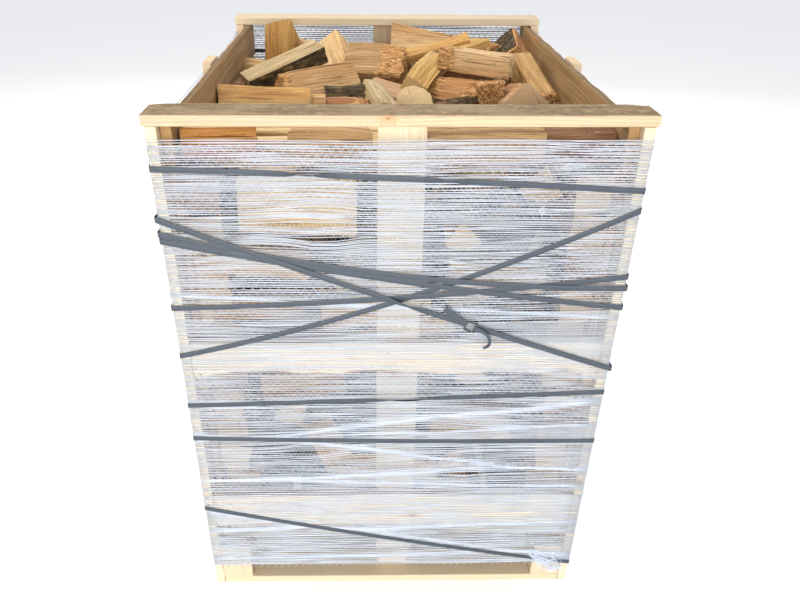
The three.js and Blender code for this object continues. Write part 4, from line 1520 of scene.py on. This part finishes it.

# %% [markdown]
# ## Straps and the buckle
#
# Nine turns of slate-grey strap hold the net. A strap is a woven band, 13 mm wide and under a
# millimetre thick, pulled tight from post to post. A plain extruded rectangle would be too
# perfect: a real strap lies a little loose between two posts, and where it was not smoothed out
# it turns on its edge and back. So the band is swept: each place on its way has its own
# direction across and its own direction outwards, and a twist turns both.

# %% The strap's finish


def make_strap_finish():
    tree = Finish("slate_strap")
    weave = tree.attribute("weave")
    along, across, _ = tree.split(weave)
    threads = (across / (1.1 * MM)).math("SINE")
    rib = ((along / (1.6 * MM)) + (across / (1.6 * MM))).math("SINE")
    dust = tree.noise(tree.combine(along * 9.0, across * 40.0, 0.0), 1.0, 4.0, 0.6)
    base = tree.mix(dust, "242C36", "39434E")
    lined = tree.mix(tree.smooth(threads, -0.2, 1.0) * 0.3, base, "475463")
    scuffed = tree.mix(tree.smooth(dust, 0.62, 0.76) * 0.5, lined, "6C7885")
    height = threads * 0.6 + rib * 0.4
    return tree.finish(scuffed, 0.46 + 0.2 * dust, tree.bump(height, 0.3, 0.0004))


strap_finish = make_strap_finish()
print("strap finish with", len(strap_finish.node_tree.nodes), "nodes")

# %% Sweep a band
STRAP_WIDTH = 13 * MM
STRAP_THICKNESS = 0.8 * MM
BAND_SECTION = [(-1, -0.4), (-0.93, -1), (-0.3, -1), (0.3, -1), (0.93, -1), (1, -0.4)]
BAND_SECTION += [(-a, -b) for a, b in BAND_SECTION]


def band_rings(path, across, out):
    """Rings of points of a band along a path, with the direction of its width at each place."""
    section = np.array(BAND_SECTION) * np.array([STRAP_WIDTH, STRAP_THICKNESS]) / 2
    return path[:, None] + across[:, None] * section[:, :1] + out[:, None] * section[:, 1:]


def turn_about(across, out, turns):
    """A band's two directions, turned about its length."""
    cosine, sine = np.cos(turns)[:, None], np.sin(turns)[:, None]
    return across * cosine + out * sine, out * cosine - across * sine


def skin_loop(rings):
    """Skins rings that go all the way round, so that no end has to be closed."""
    count, around = rings.shape[:2]
    ring, spot = np.meshgrid(np.arange(count), np.arange(around), indexing="ij")
    after, here, there = (spot + 1) % around, ring * around, (ring + 1) % count * around
    quads = np.stack([here + spot, here + after, there + after, there + spot], -1)
    return rings.reshape(-1, 3), quads.reshape(-1, 4)


def skin(rings, closed):
    """The points and the outward faces of a band or wire, a loop or one with two ends."""
    if closed:
        points, quads = skin_loop(rings)
        return points, facing_out(points, quads.tolist())
    points, quads, triangles = loft(rings)
    return points, facing_out(points, quads.tolist() + triangles.tolist())


def facing_out(points, faces):
    """The faces, turned over if their signed volume says that they point inwards."""
    volume = 0.0
    for face in faces:
        a = points[face[0]]
        for b, c in zip(face[1:-1], face[2:]):
            volume += np.dot(a, np.cross(points[b], points[c]))
    return faces if volume > 0 else [face[::-1] for face in faces]


def band_piece(name, rings, closed):
    points, faces = skin(rings, closed)
    piece = make_piece(name, points, faces, strap_finish, crease=50)
    steps = np.linalg.norm(np.diff(rings.mean(1), axis=0), axis=1)
    along = np.repeat(np.concatenate([[0], np.cumsum(steps)]), rings.shape[1])
    across = np.tile(np.array(BAND_SECTION)[:, 0] * STRAP_WIDTH / 2, len(rings))
    weave = np.column_stack([along, across, along * 0])
    weave = np.concatenate([weave, np.zeros((len(points) - len(weave), 3))])
    store(piece.data, "weave", "POINT", weave)
    return piece

print(len(BAND_SECTION), "points round a band")

# %% Where the straps go
POST_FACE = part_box("post_left_front")
SIDE_FACE, FRONT_FACE = -POST_FACE[0][0], -POST_FACE[0][1]
FIRST_LAYER = 2.5 * MM
LAYER_STEP = 1.1 * MM
STRAPS = {
    "strap_top": ((1231, 1185, 1196, 1222), 0, -4),
    "strap_diagonal_down": ((1124, 746, 790, 1090), 4, 8),
    "strap_double_upper": ((1090, 960, 985, 1060), 3, 32),
    "strap_double_lower": ((1074, 911, 930, 1035), 2, 13),
    "strap_cross_low": ((911, 988, 970, 925), 1, 13),
    "strap_diagonal_up": ((783, 1142, 1100, 820), 0, 34),
    "strap_upper_middle": ((639, 675, 668, 645), 0, 2),
    "strap_lower_middle": ((537, 523, 520, 532), 0, 5),
    "strap_bottom": ((296, 76, 110, 270), 0, 10),
}
TWISTS = {
    "strap_top": [(-0.19, 0.035, 84), (0.10, 0.03, 62)],
    "strap_upper_middle": [(0.03, 0.075, 70)],
    "strap_diagonal_down": [(0.02, 0.03, 50)],
}
STEPS_ON_A_SIDE = 44
CORNER_TURNS = 5
CORNER_RADIUS = 2.5 * MM
TWIST_LIFT = 0.42


def strap_path(heights, layer, sag):
    """Places on a strap's way, and its outward direction at each."""
    reach = FIRST_LAYER + layer * LAYER_STEP
    half_x, half_y = SIDE_FACE + reach - CORNER_RADIUS, FRONT_FACE + reach - CORNER_RADIUS
    corners = [(-half_x, -half_y), (half_x, -half_y), (half_x, half_y), (-half_x, half_y)]
    path, out = [], []
    for side in range(4):
        (ax, ay), (bx, by) = corners[side], corners[(side + 1) % 4]
        za, zb = heights[side] * MM, heights[(side + 1) % 4] * MM
        facing = math.radians(-90 + 90 * side)
        normal = np.array([math.cos(facing), math.sin(facing), 0.0])
        for step in range(STEPS_ON_A_SIDE + 1):
            t = step / STEPS_ON_A_SIDE
            hang = 4 * sag * MM * t * (1 - t) if side % 2 == 0 else 0.0
            base = np.array([ax + (bx - ax) * t, ay + (by - ay) * t, za + (zb - za) * t - hang])
            path.append(base + normal * CORNER_RADIUS)
            out.append(normal)
        for step in range(1, CORNER_TURNS):
            turn = facing + math.radians(90 * step / CORNER_TURNS)
            normal = np.array([math.cos(turn), math.sin(turn), 0.0])
            path.append(np.array([bx, by, zb]) + normal * CORNER_RADIUS)
            out.append(normal)
    return np.array(path), np.array(out)

print(len(strap_path(*STRAPS["strap_top"])[0]), "places on each strap")

# %% Twist a strap, and open it at the buckle


def twist_band(path, out, twists):
    """Turns the band on its edge near some places on the front, and moves it clear of the net."""
    ahead = unit(np.roll(path, -1, 0) - np.roll(path, 1, 0))
    across = np.cross(out, ahead)
    turns = np.zeros(len(path))
    on_front = path[:, 1] < -FRONT_FACE
    for at_x, reach, degrees in twists:
        turns += math.radians(degrees) * np.exp(-(((path[:, 0] - at_x) / reach) ** 2)) * on_front
    lifted = path + out * np.abs(np.sin(turns))[:, None] * STRAP_WIDTH * TWIST_LIFT
    return lifted, *turn_about(across, out, turns)


BUCKLE_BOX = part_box("buckle")
BUCKLE_MIDDLE = (np.array(BUCKLE_BOX[0]) + np.array(BUCKLE_BOX[1])) / 2
BUCKLE_HALF_LENGTH = 13.5 * MM


def part_at_buckle(path, across, out):
    """Opens a band at the buckle, so that it starts at one bar and comes back to the other."""
    front = path[:STEPS_ON_A_SIDE, 0]
    before = np.flatnonzero(front < BUCKLE_MIDDLE[0] - BUCKLE_HALF_LENGTH)[-1]
    after = np.flatnonzero(front > BUCKLE_MIDDLE[0] + BUCKLE_HALF_LENGTH)[0]
    order = np.concatenate([np.arange(after, len(path)), np.arange(before + 1)])
    ends = []
    for outer, side in ((after, 1), (before, -1)):
        bar = BUCKLE_MIDDLE[0] + side * BUCKLE_HALF_LENGTH * 0.95
        share = (bar - path[outer, 0]) / (path[after, 0] - path[before, 0])
        ends.append(path[outer] + (path[after] - path[before]) * share)
    path = np.concatenate([ends[:1], path[order], ends[1:]])
    order = np.concatenate([[after], order, [before]])
    return path, across[order], out[order]

print("the buckle is at", [round(part, 3) for part in BUCKLE_MIDDLE.tolist()])

# %% Lay the nine turns
for name, (heights, layer, sag) in STRAPS.items():
    band = twist_band(*strap_path(heights, layer, sag), TWISTS.get(name, ()))
    buckled = name == "strap_diagonal_down"
    if buckled:
        band = part_at_buckle(*band)
    stand_for(band_piece(f"{name}_band", band_rings(*band), closed=not buckled), "strap", name)
print(len(STRAPS), "straps laid")

# %% [markdown]
# The diagonal strap is closed by a buckle, which is one bent wire with a bar across it. The strap
# goes round the buckle's two ends, so the net shows inside the wire. The strap's own two ends come
# out of it: a short one that lies flat, and a long one that curls away.

# %% Bend the buckle
WIRE_RADIUS = 1.9 * MM
DIAGONAL_SLOPE = math.atan2(746 - 1124, 2 * SIDE_FACE / MM)


def make_steel():
    tree = Finish("buckle_steel")
    place = tree.place()
    scratch = tree.noise(tree.vector("MULTIPLY", place, (900.0, 200.0, 900.0)), 1.0, 3.0, 0.7)
    shade = tree.mix(scratch, "2C2C2F", "5C5D61")
    return tree.finish(shade, 0.28 + 0.25 * scratch, tree.bump(scratch, 0.15, 0.0003), Metallic=0.6)


def wire(path, closed):
    """A round wire along a path that lies in one plane facing the viewer."""
    path = np.array(path)
    ahead = np.roll(path, -1, 0) - np.roll(path, 1, 0)
    if not closed:
        ahead[0], ahead[-1] = path[1] - path[0], path[-1] - path[-2]
    out = np.tile([0.0, -1.0, 0.0], (len(path), 1))
    rings = tube(path, np.cross(unit(ahead), out), out, WIRE_RADIUS, 10)
    return skin(rings, closed)


def on_buckle(along, over, proud=0.0):
    """A place on the buckle: along the strap, across it, and towards the viewer."""
    cosine, sine = math.cos(DIAGONAL_SLOPE), math.sin(DIAGONAL_SLOPE)
    spot = np.array([along * cosine - over * sine, -proud, along * sine + over * cosine]) * MM
    return BUCKLE_MIDDLE + spot


def make_buckle():
    half_length, half_width, corner = BUCKLE_HALF_LENGTH / MM, 11.0, 3.0
    outline = []
    for quarter, (x, y) in enumerate([(1, 1), (-1, 1), (-1, -1), (1, -1)]):
        for turn in np.radians(np.linspace(90 * quarter, 90 * quarter + 90, 5)):
            along = x * (half_length - corner) + corner * math.cos(turn)
            over = y * (half_width - corner) + corner * math.sin(turn)
            outline.append(on_buckle(along, over))
    frame_points, frame_faces = wire(outline, closed=True)
    bar = [on_buckle(half_length - 5, over, 0.4) for over in np.linspace(-half_width, half_width, 6)]
    bar_points, bar_faces = wire(bar, closed=False)
    points = np.concatenate([frame_points, bar_points])
    faces = frame_faces + [[i + len(frame_points) for i in face] for face in bar_faces]
    return make_piece("buckle_wire", points, faces, make_steel(), crease=60)

print("the strap falls by", round(-math.degrees(DIAGONAL_SLOPE), 1), "degrees at the buckle")

# %% The strap's two ends


def smooth_path(places, count):
    """A smooth curve through a few places."""
    places = np.array(places)
    spots = np.linspace(0, len(places) - 1, count)
    path = []
    for spot in spots:
        i = min(int(spot), len(places) - 2)
        t = spot - i
        a, b = places[max(i - 1, 0)], places[i]
        c, d = places[i + 1], places[min(i + 2, len(places) - 1)]
        curved = (2 * a - 5 * b + 4 * c - d) * t**2 + (3 * b - a - 3 * c + d) * t**3
        path.append(0.5 * (2 * b + (c - a) * t + curved))
    return np.array(path)


def make_tail(name, places, lean, taper):
    """A loose end of strap. Lean turns it on its edge towards its tip."""
    path = smooth_path([on_buckle(*place) for place in places], 26)
    ahead = unit(np.gradient(path, axis=0))
    out = np.tile([0.0, -1.0, 0.0], (len(path), 1))
    out = unit(out - ahead * (out * ahead).sum(1)[:, None])
    across = np.cross(out, ahead)
    rings = band_rings(path, *turn_about(across, out, np.radians(np.linspace(0, lean, len(path)))))
    shrink = np.linspace(1, taper, len(path))[:, None, None]
    return band_piece(name, path[:, None] + (rings - path[:, None]) * shrink, closed=False)


SHORT_END = [(-12.5, 1, 1.0), (-18, 4, 3.0), (-30, 9, 3.4), (-50, 16.5, 3.8), (-76, 25, 4.6)]
LONG_END = [(11.5, -1, 1.0), (20, 0, 3.8), (32, -1.5, 4.6), (45, -7, 5.2), (54, -18, 5.4)]
LONG_END += [(56, -29, 5.2), (48, -40, 4.6)]
stand_for(make_buckle(), "buckle_steel", "buckle")
stand_for(make_tail("strap_end_short", SHORT_END, 8, 1.0), "strap")
stand_for(make_tail("strap_end_long", LONG_END, 60, 0.4), "strap")
print("buckle and two strap ends")

# %% [markdown]
# ## Nails
#
# Boards meet their posts and uprights with two or three round nails each, driven flush or a
# little deeper. A nail is the same small thing many times, so a recipe puts one head on each of a
# list of points. The list comes from the boxes of the boards.

# %% A nail, and where two boards cross


def make_nail_recipe():
    inputs = {
        "Geometry": "NodeSocketGeometry",
        "Turn": "NodeSocketVector",
        "Radius": "NodeSocketFloat",
        "Finish": "NodeSocketMaterial",
    }
    tree = Recipe("nails", inputs)
    sockets = {"Vertices": 12, "Radius": tree.input("Radius"), "Depth": 1.6 * MM}
    head = tree.node("GeometryNodeMeshCylinder", {"fill_type": "TRIANGLE_FAN"}, sockets)
    spots = {"Points": tree.input("Geometry"), "Instance": head, "Rotation": tree.input("Turn")}
    tree.end(tree.node("GeometryNodeInstanceOnPoints", None, spots))
    return tree


def make_nail_finish():
    tree = Finish("dark_nail")
    place = tree.place()
    rust = tree.noise(place, 900.0, 3.0)
    return tree.finish(tree.mix(rust, "4A433C", "8A7A6A"), 0.5, None, Metallic=0.7)


def crossing(board, support, axis, side):
    """Two nails where a board lies on a support, on the board's outer face along an axis."""
    (board_lo, board_hi), (support_lo, support_hi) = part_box(board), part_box(support)
    lo = [max(a, b) for a, b in zip(board_lo, support_lo)]
    hi = [min(a, b) for a, b in zip(board_hi, support_hi)]
    spots = []
    flat = [i for i in range(3) if i != axis]
    for share in (0.27, 0.73):
        spot = [0.0, 0.0, 0.0]
        spot[axis] = (board_hi if side > 0 else board_lo)[axis]
        for i, part in zip(flat, (share, 1 - share)):
            spot[i] = lo[i] + (hi[i] - lo[i]) * part
        spots.append(spot)
    return spots

spots = crossing("rail_front", "upright_front", 2, 1)
print("nails in the front rail at", [[round(part, 3) for part in spot] for spot in spots])

# %% Drive the nails
NAIL_FACES = {"left": (0, -1), "right": (0, 1), "front": (1, -1), "back": (1, 1), "top": (2, 1)}
nails = {face: [] for face in NAIL_FACES}


def drive(face, board, support):
    nails[face] += crossing(board, support, *NAIL_FACES[face])


for end in ("front", "back"):
    for level in ("middle", "bottom"):
        drive(end, f"{end}_board_{level}", f"upright_{end}")
        for side in SIDES:
            drive(end, f"{end}_board_{level}", f"{side}_board_{level}")
    drive("top", f"rail_{end}", f"upright_{end}")
    for side in SIDES:
        drive("top", f"rail_{end}", f"post_{side}_{end}")
for side in SIDES:
    for place_name in PLACES:
        for level in LEVELS:
            drive(side, f"post_{side}_{place_name}", f"{side}_board_{level}")
for number in DECK_BOARDS:
    for place_name in PLACES:
        drive("top", f"deck_board_{number}", f"stringer_{place_name}")

TURNS = ((0.0, math.pi / 2, 0.0), (math.pi / 2, 0.0, 0.0), (0.0, 0.0, 0.0))
nail_recipe = make_nail_recipe()
look = dict(Radius=2.0 * MM, Finish=make_nail_finish())
for face, spots in nails.items():
    mesh = bpy.data.meshes.new(f"nails_{face}")
    mesh.from_pydata(spots, [], [])
    piece = nail_recipe.grow(f"nails_{face}", mesh, Turn=TURNS[NAIL_FACES[face][0]], **look)
    stand_for(piece, "buckle_steel")
    print(piece.name, len(spots))

# %% [markdown]
# ## Floor and light
#
# The crate stands on a plain pale floor in soft studio light: a pale sky that lights all sides,
# a large lamp in front, three weaker ones round the other sides, and a small one above.

# %% Floor and lights
def make_floor():
    tree = Finish("pale_floor")
    material = tree.finish("FBFAF8", 0.9, None, **{"Specular IOR Level": 0.1})
    half = 30.0
    mesh = bpy.data.meshes.new("floor")
    corners = [(-half, -half, 0), (half, -half, 0), (half, half, 0), (-half, half, 0)]
    mesh.from_pydata(corners, [], [(0, 1, 2, 3)])
    mesh.materials.append(material)
    floor = bpy.data.objects.new("floor", mesh)
    scene.collection.objects.link(floor)


def make_lamp(name, place, aim, size, power, tint):
    data = bpy.data.lights.new(name, "AREA")
    data.shape = "DISK"
    data.size = size
    data.energy = power
    data.color = colour(tint)[:3]
    lamp = bpy.data.objects.new(name, data)
    direction = Vector(aim) - Vector(place)
    turn = direction.to_track_quat("-Z", "Y").to_matrix().to_4x4()
    lamp.matrix_world = Matrix.Translation(place) @ turn
    scene.collection.objects.link(lamp)


make_floor()
make_lamp("lamp_front", (-0.4, -4.6, 1.45), (0, 0, 0.5), 3.4, 220, "FFFBF6")
make_lamp("lamp_above", (-1.2, 0.8, 4.4), (0, 0, 1.0), 1.6, 90, "FFF4E4")
for name, place in {"left": (-4.6, 0.8, 2.0), "right": (4.6, 0.4, 2.0), "back": (0.6, 4.8, 2.0)}.items():
    make_lamp(f"lamp_{name}", place, (0, 0, 0.6), 3.0, 70, "FFFDF8")
world = bpy.data.worlds.new("studio")
world.use_nodes = True
sky = world.node_tree.nodes["Background"].inputs
sky["Color"].default_value, sky["Strength"].default_value = colour("F7F9FF"), 0.9
scene.world = world
scene.view_settings.view_transform = "Standard"
print("floor, five lamps and a pale sky")
